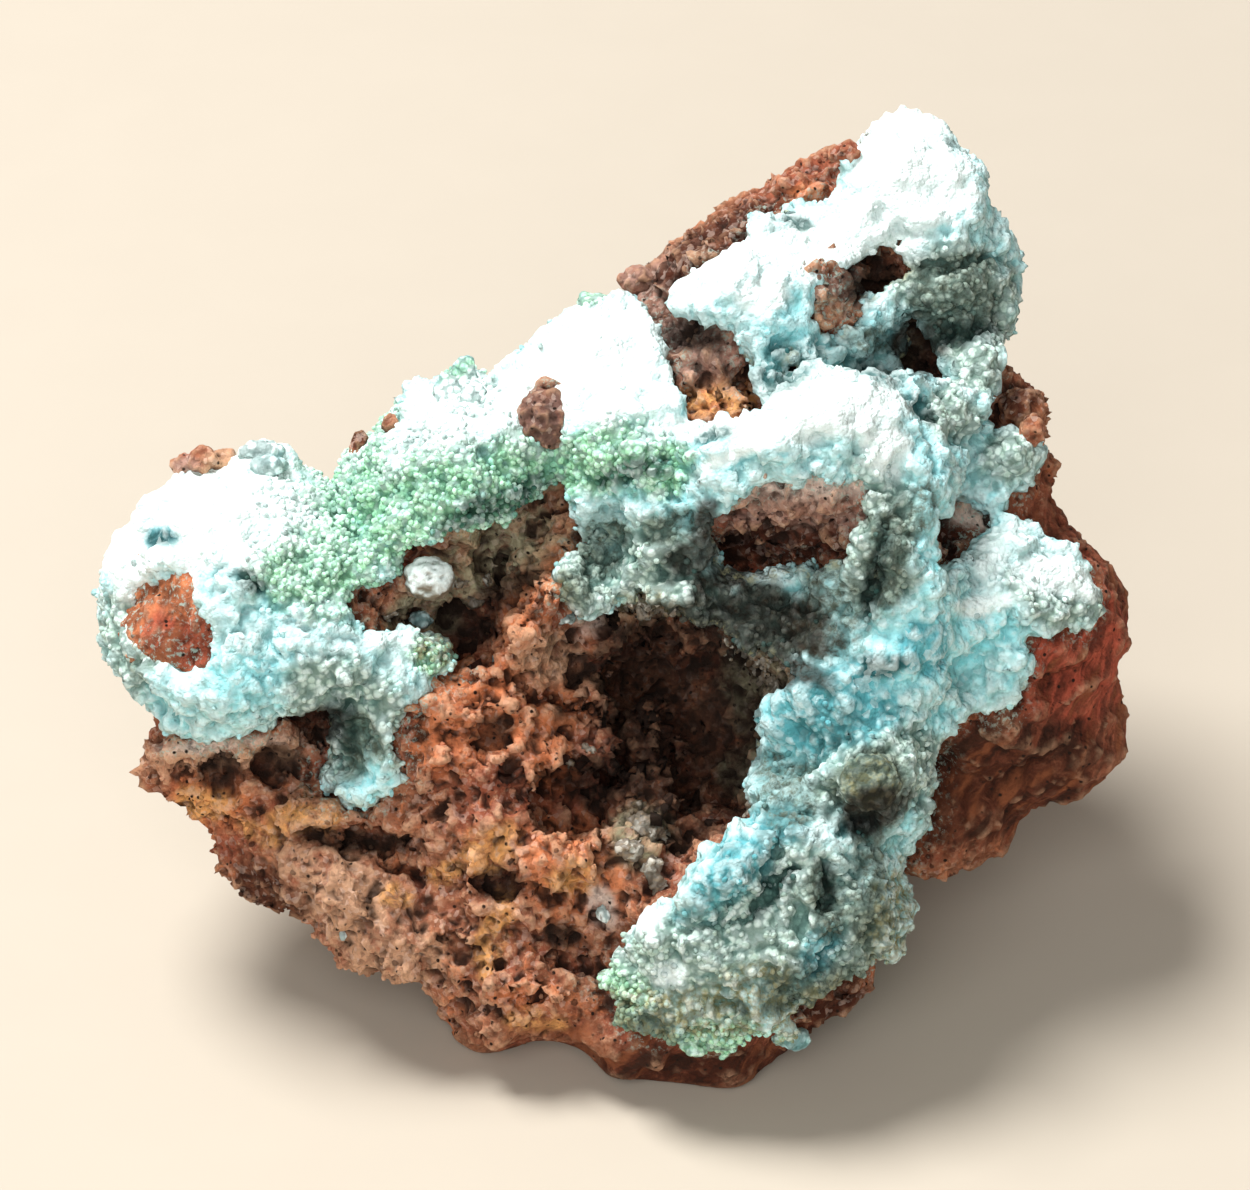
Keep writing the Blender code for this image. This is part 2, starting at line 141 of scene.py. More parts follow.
# Coats of the rock, in order: zone, which is its tone too, and its least and greatest share.
ROCK_COATS = (
    ("red", 0.3, 0.9), ("orange", 0.4, 0.95), ("tan", 0.2, 0.9), ("ochre", 0.1, 1),
    ("verdigris", 0.3, 0.95), ("mauve", 0.5, 0.9), ("crimson", 0.5, 0.85), ("plum", 0.6, 0.9),
    ("maroon", 0.6, 1), ("ash", 0.5, 1),
)

# Zones of the crust where the painted highlight on what faces the sky is weaker, and how much
# weaker.
WEAKER_SKY_HIGHLIGHT = (
    ("grey", 1), ("green", 0.7), ("stained", 1), ("olive", 1), ("dusk", 1), ("cyan", 1),
    ("deep", 1), ("blue", 0.6),
)

# Ellipses on the display face: (across, up, half across, half up, turn in degrees).
CRUST_ZONES = {
    "green": (
        (-17, 6.5, 8.5, 5.5, 25), (-21, 2.5, 4.5, 3.5, 0), (-9, 7.5, 5, 3, 25),
        (-2, 9.5, 4, 2.6, 15), (2, 8.8, 2.6, 2.2, 0), (-18, 12, 3, 3, 0),
        (-11, 14.5, 2.2, 2.6, 0), (-2.2, 21, 1.4, 0.9, 20), (-1, -28, 3, 2.6, -30),
        (5, -30.5, 6, 1.6, 5), (-13, -4, 1.6, 1.4, 0),
    ),
    "blue": (
        (7.4, 11.4, 3, 1.6, 40), (12, 17.6, 3.4, 1.6, 30), (20.6, 12.4, 1.6, 3, 25),
        (18.8, 32.4, 0.8, 0.5, 20), (22.8, 30.2, 1.4, 0.6, -30), (22, 26, 2, 0.9, 10),
        (17.8, 26.4, 0.8, 1, 0), (12.4, 20, 1.8, 2, 0), (13.5, -7, 5, 4, 30), (18, -4, 5, 3, 20),
        (22.6, -2.6, 4, 2.4, 10), (6, -18, 2.4, 4, -35), (-25, 9, 2, 1.4, 10),
        (-31.5, 4, 2, 1.2, 0), (-27, -5, 3.6, 1.4, 0), (5, 9.5, 4, 1.2, 10), (20.5, 5, 1.6, 6, 0),
        (-25, 8.2, 1.8, 0.9, 0), (-17.5, -11.5, 2, 3, 0),
    ),
    # Painted shade in the valleys and hollows.
    "deep": (
        (10.6, 15.6, 3.4, 1.5, 34), (17.2, 15.4, 2.4, 1, -18), (20, 12.9, 1.5, 0.7, -50),
        (5.9, 10.7, 1.4, 0.5, 15), (12, 26, 1.2, 0.5, -10), (16.8, 1, 0.8, 3.6, -10),
        (9.7, -20.2, 0.8, 2.8, -44), (0.5, 8.4, 2.8, 0.8, 15), (13.6, -19.6, 0.7, 1.8, 0),
        (17.4, -4.8, 1.6, 0.9, 10), (15.4, -15.8, 2.2, 0.7, 20), (-25.5, 0.9, 1.5, 0.7, -30),
        (-19.5, -9, 1.2, 2.4, 0), (-9, 6.2, 4.5, 0.9, 25), (24, 18.2, 2.4, 0.8, 10),
        (-31.8, 3.9, 1.2, 0.6, 0),
    ),
    # Grey-green crust, partly painted shade on the walls turned from the light.
    "grey": (
        (30, 0, 4, 2.4, -15), (1.5, 2, 3.6, 3, 40), (-2.4, 1.4, 2.4, 2.6, 0),
        (5, -1, 5, 3.2, -15), (10, -2, 4, 2.6, 0), (22.4, 22, 4, 2.6, 10), (24.5, 16, 2, 2, 0),
        (22.5, 12.5, 2, 2, 0), (27, 9.6, 2, 2, 0), (17, 4, 2.6, 6, 0), (17, -12, 4.5, 3.5, 0),
        (14, -9, 2, 2, 0), (9, -22, 8, 5, 35), (3, -26, 6, 4, -20), (14, -25, 5, 5, 0),
        (-19, -8, 4, 4, 0), (24, 20, 4, 4, 0), (-34, -2, 2.4, 4, 0),
    ),
    # White tops: partly bleached crust, partly a painted highlight where the light falls.
    "bleached": (
        (-28, 6, 7.5, 4.4, 15), (-34, 3, 2.4, 4, 0), (-12, 12.5, 6, 2.6, 25),
        (-2, 15.5, 6, 4, 35), (13.5, 12.4, 5.4, 2.2, 5), (8, 10, 4, 0.8, 30),
        (17.5, 9.6, 1.6, 2.4, 10), (20, 30, 4.5, 5.5, 0), (17, 25.5, 7, 3, 20),
        (6, 22.5, 4, 1.8, 30), (29.5, 1.4, 3.4, 1.4, -15), (24.6, -0.6, 2, 0.8, 10),
        (9.4, 20.4, 1.8, 1.4, 35), (1, -21.5, 1.6, 1.2, 20), (6, 11.4, 4, 1, 0),
        (-25.2, 10.3, 1.8, 0.9, 0), (-4, -1.4, 0.9, 0.9, 0), (-9, -4.5, 0.5, 0.5, 0),
        (-1.5, -22, 0.7, 0.9, 0), (-19.5, -23.5, 0.5, 0.5, 0), (3.2, -25.6, 1.4, 1, 30),
    ),
    "cyan": (
        (14, -7.8, 4.6, 3.2, 20), (7, -18.7, 1.7, 4.2, -44), (20, -3.6, 2, 1.6, 20),
        (-31.8, 4, 1.4, 0.8, 0), (10.4, -15.6, 2.2, 1.3, 0), (13, -24.4, 1.2, 2.6, -30),
    ),
    # Dusky green knobs, and painted shade under the peak's ledge and on the vug's wall.
    "dusk": (
        (22.8, 20.2, 3.2, 2.6, 10), (22, 22.8, 4, 0.8, 12), (17, 17.8, 2.2, 1, 0),
        (13.8, -1.2, 3, 3.6, 0), (-1.6, 3.2, 1.8, 2.8, -20), (-3.6, -0.2, 1.5, 1.5, 0),
        (3.4, 4.6, 2.2, 1.3, 10), (11, -13.4, 2.2, 2.8, 10), (16.6, -12.2, 2.7, 2.3, 0),
        (17.6, 3, 1.8, 3.4, 0), (14.4, -27, 3.6, 2, 35), (16.6, -20.4, 1.3, 3.6, 0),
        (1.6, -29.4, 3.6, 1.4, -10), (17.5, 2, 1.6, 4, 0), (16.5, -14.8, 3, 2, 0),
        (-18, -10, 1.6, 2, 0), (20, 5.6, 1, 2.4, 0), (11, -26.6, 3.4, 1.6, 30),
        (13.6, -20.6, 1.2, 3, 10),
    ),
    # Painted shade where the crust overhangs the vugs and in other recesses.
    "stained": (
        (9.4, -1.8, 5.8, 3, -12), (8, -3.6, 5, 2, -20), (4, -2.2, 4, 1.8, -8),
        (20.6, 17.2, 1.7, 2.4, 0), (4.4, 2.4, 2.4, 1.4, 20), (12, -5, 2, 1, -20),
        (6.6, 1, 2.4, 1, 0), (5.5, 4, 1, 3, 0), (16.6, -14.6, 3, 1.4, 10),
        (-20.8, -8.8, 1.6, 1.4, 0),
    ),
    "olive": (
        (4, -28.5, 7, 2.4, 10), (11, -28, 4, 2.6, 20), (8, -27.2, 5, 2.2, 15),
        (2, -0.8, 2.6, 1.1, -5), (-5, -1, 1.6, 2, 0), (18.5, -23, 2, 5, 0),
        (16.7, -12.3, 2.4, 2, 0), (-12, -3.5, 2, 1.6, 0),
    ),
}

ROCK_ZONES = {
    "ochre": (
        (-22.4, -15.7, 2.7, 1.4, 0), (-25, -16.6, 1.8, 0.9, -10), (-15.6, -20.6, 1, 0.8, 0),
        (-9.2, -17.4, 2, 1.5, 20), (-3.5, -19.4, 1.5, 1.4, 0), (-8.8, -22.8, 1.1, 3, -20),
        (-12.4, -19, 1.6, 0.8, 20), (-6, -29.4, 2, 0.9, 0), (6.5, 13.6, 2.6, 1.5, 10),
        (-29.5, -14.6, 2, 1.2, 0),
    ),
    "spongy": (
        (-8, -8, 9, 6, 0), (-6, -19, 8, 8, 0), (-9, -28.5, 6, 3, 0), (-13.5, -14.5, 6, 4, 0),
        (-5.6, 1.4, 2, 7, -28), (6, 14, 3, 3, 0), (2, -23, 5, 4, 0),
    ),
    "ash": (
        (12, 7.7, 6, 1.1, 0), (-2.4, -1.6, 0.9, 1.6, -30), (-28, -10.3, 4.6, 0.5, 5),
        (23.8, 5.6, 2, 1, 0), (-1.6, -21.6, 0.9, 1.6, 10),
    ),
    # Dark red rock, partly painted shade on the undersides.
    "maroon": (
        (25, -13, 6, 4.5, 20), (30, -12.5, 4, 3.4, 0), (27.6, 13.4, 1.6, 1.4, 0),
        (6, 24.6, 5, 1.6, 35), (23, 4.4, 2.8, 3, 0), (11, 3.6, 5.4, 1.2, 0),
        (-18, 12, 1.6, 2.6, 0), (4, -32.6, 9, 1.8, 3), (14, -28.4, 3, 2, 40),
        (-25, -20.6, 3.4, 2, -30),
    ),
    "orange": (
        (-5.6, 1.4, 2, 7, -28), (-31.4, -2, 3.4, 3.6, 0), (-29, -14.6, 3, 2.4, 0),
        (-8.5, -7.5, 6.5, 3.6, 0), (-12.5, -9, 2.4, 3.6, 0), (-5, -11, 1.6, 3.4, 0),
        (-3.4, -19, 3.6, 3.4, 0), (5.4, 5.4, 1, 2.4, 0), (6.4, 14, 2.6, 1.8, 10),
        (-5.4, 19, 2, 1.4, 30), (13, 28.2, 1.8, 1, 33), (28, 12.6, 1.4, 0.8, 20),
        (-13, -9.5, 1.6, 3, 0), (-6, -27.6, 3, 1, 0),
    ),
    "verdigris": (
        (-14, -1.4, 2.4, 1.6, 0), (-11, 1, 3, 1.6, 30), (10, -6.5, 3, 4, 0), (1, 1, 3, 3, 0),
        (-8.5, 3.6, 5, 2.6, 30), (1, -16.5, 2.2, 2.2, 0), (9, -12.5, 2, 2, 0),
        (18.5, 18, 2.4, 2, 0),
    ),
    "red": (
        (31, -7, 8, 14, 0), (-31, -1.5, 4, 4, 0), (-30, 10.2, 1.4, 0.9, 0), (9, -31.5, 11, 3, 5),
        (-4, -12, 4, 4, 0), (11.5, 5.5, 6, 2.4, 0), (11, 27.4, 7, 1.8, 35),
    ),
    "tan": (
        (-28.3, 9.2, 1.3, 1, 0), (-19, -22, 3.6, 7.4, 42), (-15.5, -25.5, 3, 2.6, 0),
        (-27, -10.9, 6, 1, 5), (-5, -4.5, 2.6, 2, 0), (14, 20.6, 2, 1.6, 0), (3.5, 18, 2, 2.2, 0),
        (10.5, 6.6, 4.5, 1, 0), (4, 23.4, 3, 1.4, 30),
    ),
    "mauve": (
        (-30.7, 8.9, 1, 0.8, 0), (6, 17, 3.4, 2.6, 0), (11, 7, 7, 1.4, 0), (11, 5.2, 6, 1.2, 0),
        (2, 22, 4, 2, 25),
    ),
    "plum": (
        (-5.5, 12, 3, 3, 0), (3.5, 18.6, 2, 1.6, 0), (15, 21.4, 2, 1.4, 0),
    ),
    "crimson": (
        (31, -3.5, 5, 5.5, 0), (-30, -3.2, 3, 2, -25),
    ),
    # Painted shade in the vugs, the crevices and under the peak's ledge.
    "dark": (
        (3.8, -8, 7, 8.6, -10), (3.4, -7.5, 6, 7, -10), (0, -4.5, 3, 3, 0),
        (-1.6, -12.8, 2.8, 2.2, 0), (-8.2, 0.2, 2.4, 1, 35), (-11, -2.2, 2.2, 1.7, 0),
        (17, 22.6, 2.6, 2.4, 0), (20.7, 17.4, 2.6, 3.4, 0), (-18.6, -17, 4, 0.8, -3),
        (-9, -9.4, 1.2, 1.1, 0), (-8.5, -20, 1.6, 1.2, 0), (-28, -12.2, 1.6, 1.3, 20),
        (-24.2, -11.6, 1.4, 1.2, 0), (-21, -9, 1.8, 1.5, 0), (5, 17.8, 2.2, 1.2, 0),
        (-4, -23.6, 1.8, 0.9, -20),
    ),
}

# Where the rock stands out under the crust's breaks: ellipse, then height in mm.
ROCK_RAISED = (
    (-31, -1.5, 4.4, 4.6, -20, 1.5), (-5.5, 12, 2.2, 2.4, 0, 1.7), (6, 15.2, 3.4, 3.6, 0, 0.9),
    (14.2, 20.4, 2.4, 3.2, 10, 1.6), (11, 7.2, 6.6, 1.4, 0, 1.6), (23.4, 4, 2.8, 3, 0, 0.9),
    (-6.2, 0.6, 1.6, 7, -28, 1.1), (27.6, 12.8, 1.9, 1.8, 0, 1.1), (9, 26.6, 9, 1.5, 33, 0.9),
    (-27, -10.2, 6, 1, 8, 0.9), (1, -16.5, 1.9, 1.9, 0, 1.4), (-19.5, -21.5, 3.2, 6.6, 42, 0.8),
    (-4, -18, 3, 2, 20, 0.9), (28, -4, 6, 8, 0, 0.4), (-11.4, -9, 4.2, 3.2, 0, 0.8),
    (-22.4, -15.2, 2.6, 1, 5, 0.9), (-12, -24.2, 2.6, 1.8, -30, 0.9),
    (-10.6, -28.8, 4.6, 2.6, 0, 0.8), (-2.6, -10.6, 3, 0.8, 8, 1),
)

# Where the rock is smooth and streaked: ellipses.
ROCK_STREAKED = (
    (31, -7, 8, 14, 0), (2, -32, 14, 3, 0), (25, -13, 7, 5, 20), (-31.4, -2, 3, 3.4, 0),
)

# Pits and crevices of the rock: ellipse, then depth in mm.
ROCK_SUNK = (
    (3.8, -8.6, 5.6, 7, -12, 3.2), (-9, -9.5, 1.3, 1.2, 0, 2.2), (-8.4, -20, 1.7, 1.2, 0, 2),
    (-18.6, -16.9, 3.8, 0.7, -3, 2.2), (-24.2, -11.6, 1.3, 1.1, 0, 1.4),
    (-8.5, -3.1, 0.4, 0.35, 0, 1), (-10.8, -2.4, 2.2, 1.8, -20, 1.6),
    (-14.5, -19, 3.6, 0.7, -28, 1.4), (-21, -9, 1.7, 1.5, 0, 1.6),
    (-28, -12.4, 1.4, 1.2, 20, 1.4), (-3.4, -14, 3.2, 1.9, 0, 2.4), (9.6, 14.6, 4.4, 1.5, 38, 2),
    (16.6, 16.4, 3.6, 1.5, -8, 2), (-4.6, -24.5, 2.6, 0.9, -20, 1.5),
    (-12.4, -13, 1, 0.8, 0, 1.2), (-6.5, -6.5, 0.5, 1, 0, 1.2), (-4.6, -6.8, 0.45, 0.7, 0, 1),
    (-11.5, -24.5, 2, 0.8, -35, 1), (11, 3.2, 5, 1.5, 0, 0.8), (17.8, 22, 1.6, 2, 0, 1.5),
    (4.8, 18.2, 2, 1.2, 0, 1), (-7, -28, 1.4, 0.7, 10, 1.1), (30.5, -6, 3.6, 0.8, 20, 0.9),
    (28, -12.5, 3.2, 0.7, 30, 1),
)

# Small pits in the crust: ellipse, then depth in mm.
CRUST_SUNK = (
    (-31.8, 3.9, 1.6, 0.8, 0, 0.7), (15.4, 9.4, 0.5, 0.4, 0, 0.5), (18.6, 8.6, 0.5, 1.1, 10, 0.6),
    (19, 25, 0.7, 0.8, 0, 0.6), (21, 22.4, 0.8, 0.4, 0, 0.5), (9.6, 14.6, 4, 0.9, 38, 1.8),
    (16.6, 16.2, 3.2, 0.9, -8, 1.8), (20.2, 12.9, 1.6, 0.6, -50, 1.2),
    (5.9, 10.7, 1.6, 0.5, 15, 0.9), (22, 22.8, 4.2, 0.7, 12, 1.3), (12, 26, 1.3, 0.5, -10, 0.8),
    (17.8, 26.4, 0.7, 0.9, 0, 0.6), (20.6, 25, 1.6, 0.4, 10, 0.6), (13.4, 10.3, 0.9, 0.6, 0, 0.7),
    (10.7, 16.4, 1, 2, -40, 0.6), (9.7, -20.2, 0.6, 2.8, -44, 1.6),
    (13.6, -19.6, 0.7, 1.7, 0, 1.3), (3.6, 4.6, 2.2, 1, 10, 0.9), (11.6, -21, 0.5, 2.4, 10, 0.7),
    (15.4, -15.6, 2.2, 0.5, 20, 0.7), (-25.5, 0.9, 1.3, 0.5, -30, 0.6),
    (-24.5, -3.6, 1.4, 0.5, 40, 0.5), (16.8, 1, 0.5, 3.6, -10, 0.7),
    (-1.6, 3.2, 1.4, 2.6, -20, 1.4), (24, 18.2, 2.4, 0.6, 10, 0.7),
)

# Swellings of the crust: ellipse, then height in mm.
CRUST_RAISED = (
    (13, 11.8, 7.5, 2.2, 10, 1.3), (19.3, 10, 1.8, 3.6, 20, 0.9), (24.6, 16.1, 1.7, 1.6, 0, 0.9),
    (22.5, 12.5, 1.6, 1.6, 0, 0.8), (27, 9.6, 1.5, 1.7, 0, 0.8), (24, 20.6, 2.8, 1.6, 10, 0.7),
    (1.4, 9.4, 1.9, 1.6, 20, 0.6), (-9.5, 10.6, 3.6, 2.2, 30, 0.5), (-17.5, 8.4, 2.6, 2, 30, 0.5),
    (-22.5, 4.4, 3, 2.2, 20, 0.5), (12.6, -17.6, 1.9, 3.4, -30, 0.8),
    (7, -18.7, 1.3, 3.7, -44, 1.5), (1.2, 2, 0.8, 3.4, -52, 0.9), (4, -24, 2.6, 2, -30, 0.6),
    (13.6, -24.6, 2, 3.6, 0, 0.5), (16.6, -11.8, 2.3, 2, 0, 1.1), (14.6, -6.4, 3.2, 1.8, 25, 0.6),
    (19.5, -3.4, 2.4, 1.6, 20, 0.5), (28.6, 0.4, 3.6, 2, -20, 0.5), (20, 31, 2.2, 2.4, 0, 0.4),
    (6, 21.6, 4, 1, 30, 0.5), (-26, -6.6, 5, 1.2, -8, 0.4),
)

# Single lumps on the crust: centre (across, up, out) and half sizes in mm.
PALE_LUMPS = (
    (-25.3, 10, -1.2, 1.7, 0.8, 1.3), (-24.8, 8.9, -0.2, 1.3, 0.8, 1.1),
    (-11.2, 15.2, -3, 0.9, 1.5, 1), (-12.2, 14, -3, 1.1, 1.2, 1), (-10.4, 13.6, -3, 1.1, 1.1, 1),
    (-2.2, 20.8, -3.4, 1.2, 0.8, 1), (24.6, 16.1, 0.4, 1.3, 1.3, 1.2),
    (22.5, 12.5, 2.6, 1.3, 1.4, 1.2), (27, 9.6, 0.4, 1.2, 1.4, 1.1),
    (26.6, 20.2, -3.6, 1, 1.8, 1.1), (0.6, 9.6, 6.2, 1, 0.9, 0.9), (2.3, 8.4, 6.8, 1.1, 0.8, 0.9),
    (16.5, -12.6, 9, 2.1, 1.9, 1.7), (4.5, -30.8, 5.6, 0.9, 0.5, 0.8),
    (11.5, -30.6, 3.4, 1.4, 0.8, 0.9), (-14.2, -1.7, 0.4, 0.8, 0.7, 0.7),
    (-1.6, 4.1, 4.9, 0.6, 0.5, 0.5), (-4, -1.5, 3.2, 0.6, 0.5, 0.5),
    (-9, -4.5, 5.2, 0.35, 0.3, 0.3), (-1.5, -22, 3.6, 0.45, 0.6, 0.4),
    (-19.5, -23.5, 4, 0.3, 0.3, 0.3), (19.6, 17.8, -5.6, 0.5, 0.6, 0.5),
    (21, 20.6, -3.6, 0.7, 0.5, 0.5),
)

# Single lumps of rock, given the same way.
RUSTY_LUMPS = (
    (-5.5, 12.2, 3, 2, 2, 2.2), (-5.2, 11, 3, 1.6, 1.2, 1.9), (-30.6, 9, -1.2, 1.2, 1, 1.1),
    (-29.4, 9.7, -1.8, 1.4, 1, 1.1), (-28.3, 9.2, -0.8, 1.2, 1, 1.1),
    (27.8, 13, -3, 1.5, 1.6, 1.6), (28.4, 11.4, -3.6, 1, 1.2, 1.2),
    (-18.4, 10.2, 1.6, 0.7, 1.2, 0.8), (-17, 13, 0.8, 0.6, 0.8, 0.7),
    (15.6, 31, -4.8, 1.3, 0.8, 1), (11.6, 28.8, -4.8, 1.4, 0.9, 1), (1, 22.2, -4, 1.6, 1, 1.2),
)

# Patches of pale grains on the walls of the vugs.
DRUSE_PATCHES = (
    (1.5, 1.4, 2.8, 2.6, 20), (9.4, -4.5, 2.4, 1.4, -20),
)

# Single knobs of pale crystals in the vugs, given like the other lumps.
VUG_KNOBS = (
    (1.3, -16.2, 2.4, 1.3, 1.3, 1.1), (2.4, -16.8, 2, 0.8, 1, 0.8),
    (0.4, -17.4, 2.6, 0.9, 0.9, 0.8), (1.8, -18.4, 2.6, 0.9, 1.3, 0.8),
    (2.3, -20, 2.6, 0.7, 0.9, 0.6), (0.9, -14.6, 2.4, 0.5, 0.5, 0.5), (8.2, -7.2, 3, 0.7, 1, 0.8),
    (8.6, -6, 3, 0.4, 0.5, 0.5), (8.4, -12.3, 3, 0.6, 0.6, 0.6), (8.9, -13.4, 3, 0.5, 0.4, 0.5),
    (7.6, -13.9, 3, 0.4, 0.4, 0.4), (1.2, 2.4, 4, 1.1, 1.2, 0.8), (2.8, 3.2, 4.4, 0.9, 0.8, 0.8),
    (-0.4, 0.6, 3.6, 1, 0.9, 0.8), (-1.6, -0.6, 3.2, 0.9, 0.8, 0.7), (4.2, 2, 4.6, 0.8, 0.7, 0.7),
    (-10.6, -0.2, 2, 0.9, 0.7, 0.8), (-9.6, 0.8, 2, 0.5, 0.6, 0.6),
    (-11.4, 0.9, 2.4, 0.7, 0.5, 0.6), (-16.4, -1.4, 2, 0.6, 0.5, 0.5),
    (-2.6, -10.6, 2, 0.5, 0.4, 0.4), (-3.8, -11.6, 2.4, 0.4, 0.4, 0.4), (3, -1, 4, 0.9, 0.7, 0.7),
    (1.4, -1.2, 4, 0.8, 0.6, 0.7), (10.4, -4.2, 3, 0.8, 0.6, 0.7),
)


def linear(*screen):
    """A colour given as screen values from 0 to 1, for a node's socket."""
    return tuple(
        value / 12.92 if value <= 0.04045 else ((value + 0.055) / 1.055) ** 2.4
        for value in screen
    )


def face_matrix():
    """Turns (across, up, out) on the display face into the part's own frame."""
    up = Vector((0, math.sin(FACE_LEAN), math.cos(FACE_LEAN)))
    out = Vector((0, -math.cos(FACE_LEAN), math.sin(FACE_LEAN)))
    turned = Matrix((Vector((1, 0, 0)), up, out)).transposed().to_4x4()
    return Matrix.Translation((0, 0, FACE_HEIGHT)) @ turned


def on_face(across, up, out):
    return face_matrix() @ (Vector((across, up, out)) * MM)


def face_places(mesh):
    """Every vertex as (across, up, out) in mm."""
    turned = np.array(face_matrix().inverted())
    return (positions(mesh) @ turned[:3, :3].T + turned[:3, 3]) / MM


def rows_of_three(data, name, count):
    flat = np.empty(count * 3)
    data.foreach_get(name, flat)
    return flat.reshape(-1, 3)


def positions(mesh):
    return rows_of_three(mesh.vertices, "co", len(mesh.vertices))


def normals(mesh):
    return rows_of_three(mesh.vertex_normals, "vector", len(mesh.vertices))


def select_only(piece):
    bpy.ops.object.select_all(action="DESELECT")
    piece.select_set(True)
    bpy.context.view_layer.objects.active = piece


def node_copy(node, name):
    """A copy of a CAD node with its loose triangles merged."""
    piece = bpy.data.objects.new(name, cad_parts[node].data.copy())
    piece.data.name = name
    bpy.context.scene.collection.objects.link(piece)
    select_only(piece)
    bpy.ops.object.mode_set(mode="EDIT")
    bpy.ops.mesh.select_all(action="SELECT")
    bpy.ops.mesh.remove_doubles(threshold=MERGE_DISTANCE)
    bpy.ops.object.mode_set(mode="OBJECT")
    return piece


def finish_modifier(piece, kind, **settings):
    """Adds one modifier and applies it."""
    made = piece.modifiers.new(kind.title(), kind)
    for name, value in settings.items():
        setattr(made, name, value)
    select_only(piece)
    bpy.ops.object.modifier_apply(modifier=made.name)


def remesh(piece, voxel):
    finish_modifier(piece, "REMESH", mode="VOXEL", voxel_size=voxel, use_smooth_shade=True)


def smooth(piece, iterations):
    finish_modifier(piece, "SMOOTH", factor=0.5, iterations=iterations)


def displace(piece, strength, group, middle=0, **settings):
    """Moves the surface along its normals, as far as the group's weights say."""
    finish_modifier(
        piece, "DISPLACE", strength=strength, mid_level=middle, vertex_group=group, **settings
    )


def relief(piece, kind, size, height, group="", middle=0.5, **texture_settings):
    """Moves the surface in and out by a texture of that feature size and height."""
    group = group or set_group(piece, "everywhere", np.ones(len(piece.data.vertices)))
    texture = bpy.data.textures.new(f"{piece.name}_{kind.lower()}", kind)
    texture.noise_scale = size
    for name, value in texture_settings.items():
        setattr(texture, name, value)
    displace(piece, height, group, middle, texture=texture, texture_coords="LOCAL")


def clouds(piece, size, height, group="", middle=0.5, depth=2, **texture_settings):
    relief(piece, "CLOUDS", size, height, group, middle, noise_depth=depth, **texture_settings)


def crags(piece, size, height, group="", middle=0.4, depth=3):
    """Clouds with sharp creases between them."""
    clouds(piece, size, height, group, middle, depth, noise_type="HARD_NOISE")


def warped_cells(piece, size, height, group, middle, warp):
    """Irregular pores or crumbs."""
    relief(
        piece, "DISTORTED_NOISE", size, height, group, middle, distortion=warp,
        noise_basis="VORONOI_F1", noise_distortion="BLENDER_ORIGINAL",
    )


def domes(piece, size, height, group=""):
    """Rounded grape-like swellings about that far apart."""
    relief(
        piece, "VORONOI", size, -height, group, middle=0.35,
        distance_metric="DISTANCE_SQUARED", noise_intensity=1.0,
    )


def set_group(piece, name, weights):
    """A vertex group with the weights, in steps, and none at the resting face."""
    group = piece.vertex_groups.get(name) or piece.vertex_groups.new(name=name)
    raised = ramp(positions(piece.data)[:, 2] / MM, *RESTING_FADE)
    steps = np.round(np.clip(weights, 0, 1) * raised * WEIGHT_STEPS).astype(int)
    for step in range(WEIGHT_STEPS + 1):
        members = np.nonzero(steps == step)[0]
        if len(members):
            group.add(members.tolist(), step / WEIGHT_STEPS, "REPLACE")
    return name


def sculpt(piece, strokes, sign):
    """Raises or sinks the surface inside the strokes' ellipses."""
    places = face_places(piece.data)
    uneven = wobble(places, 1.1, 9)
    heights = np.zeros(len(places))
    for *ellipse, height in strokes:
        heights = np.maximum(heights, zone_weights(places, (ellipse,), uneven, 0.45) * height)
    heights *= ramp(places[:, 2], *FRONT_FADE)
    tallest = heights.max()
    displace(piece, sign * tallest * MM, set_group(piece, "sculpt", heights / tallest))
    piece.vertex_groups.clear()


def thin(piece, ratio, spare):
    """Collapses edges down to that share of the faces, first where spare is high."""
    group = set_group(piece, "spare", spare)
    finish_modifier(piece, "DECIMATE", ratio=ratio, vertex_group=group)
    piece.vertex_groups.clear()
    piece.data.validate()


def carried(places, values, mesh):
    """Each vertex's value, taken from the nearest of the places."""
    tree = KDTree(len(places))
    for row, place in enumerate(places):
        tree.insert(place, row)
    tree.balance()
    return np.asarray(values)[[tree.find(place)[1] for place in positions(mesh)]]


def spread(mesh, values, rounds):
    """Averages a value with its neighbours so many times."""
    ends = np.empty(len(mesh.edges) * 2, int)
    mesh.edges.foreach_get("vertices", ends)
    first, second = ends[::2], ends[1::2]
    count = len(mesh.vertices)
    valence = np.maximum(np.bincount(ends, minlength=count), 1)
    kept = np.asarray(values, float)
    for _ in range(rounds):
        total = np.bincount(first, kept[second], count)
        total += np.bincount(second, kept[first], count)
        kept = total / valence
    return kept


def dents(mesh, rounds):
    """How far each vertex lies below the smoothed surface, in mm; bumps are negative."""
    start = positions(mesh)
    smoothed = np.stack([spread(mesh, start[:, axis], rounds) for axis in range(3)], axis=1)
    return ((smoothed - start) * normals(mesh)).sum(axis=1) / MM


def set_attributes(mesh, **values):
    for name, value in values.items():
        kept = mesh.attributes.get(name) or mesh.attributes.new(name, "FLOAT", "POINT")
        kept.data.foreach_set("value", np.asarray(value, np.float32))


def attribute(mesh, name):
    kept = np.empty(len(mesh.vertices), np.float32)
    mesh.attributes[name].data.foreach_get("value", kept)
    return kept


def ramp(values, low, high):
    """0 below low, 1 above high, smooth between them."""
    share = np.clip((values - low) / (high - low), 0, 1)
    return share * share * (3 - 2 * share)


def wobble(places, size, seed=0.0):
    """Soft noise from -1 to 1 at each place, with features about that many mm wide."""
    shift = Vector((seed, seed * 1.7, seed * 0.3))
    return np.array([noise.noise(Vector(place) / size + shift) for place in places])


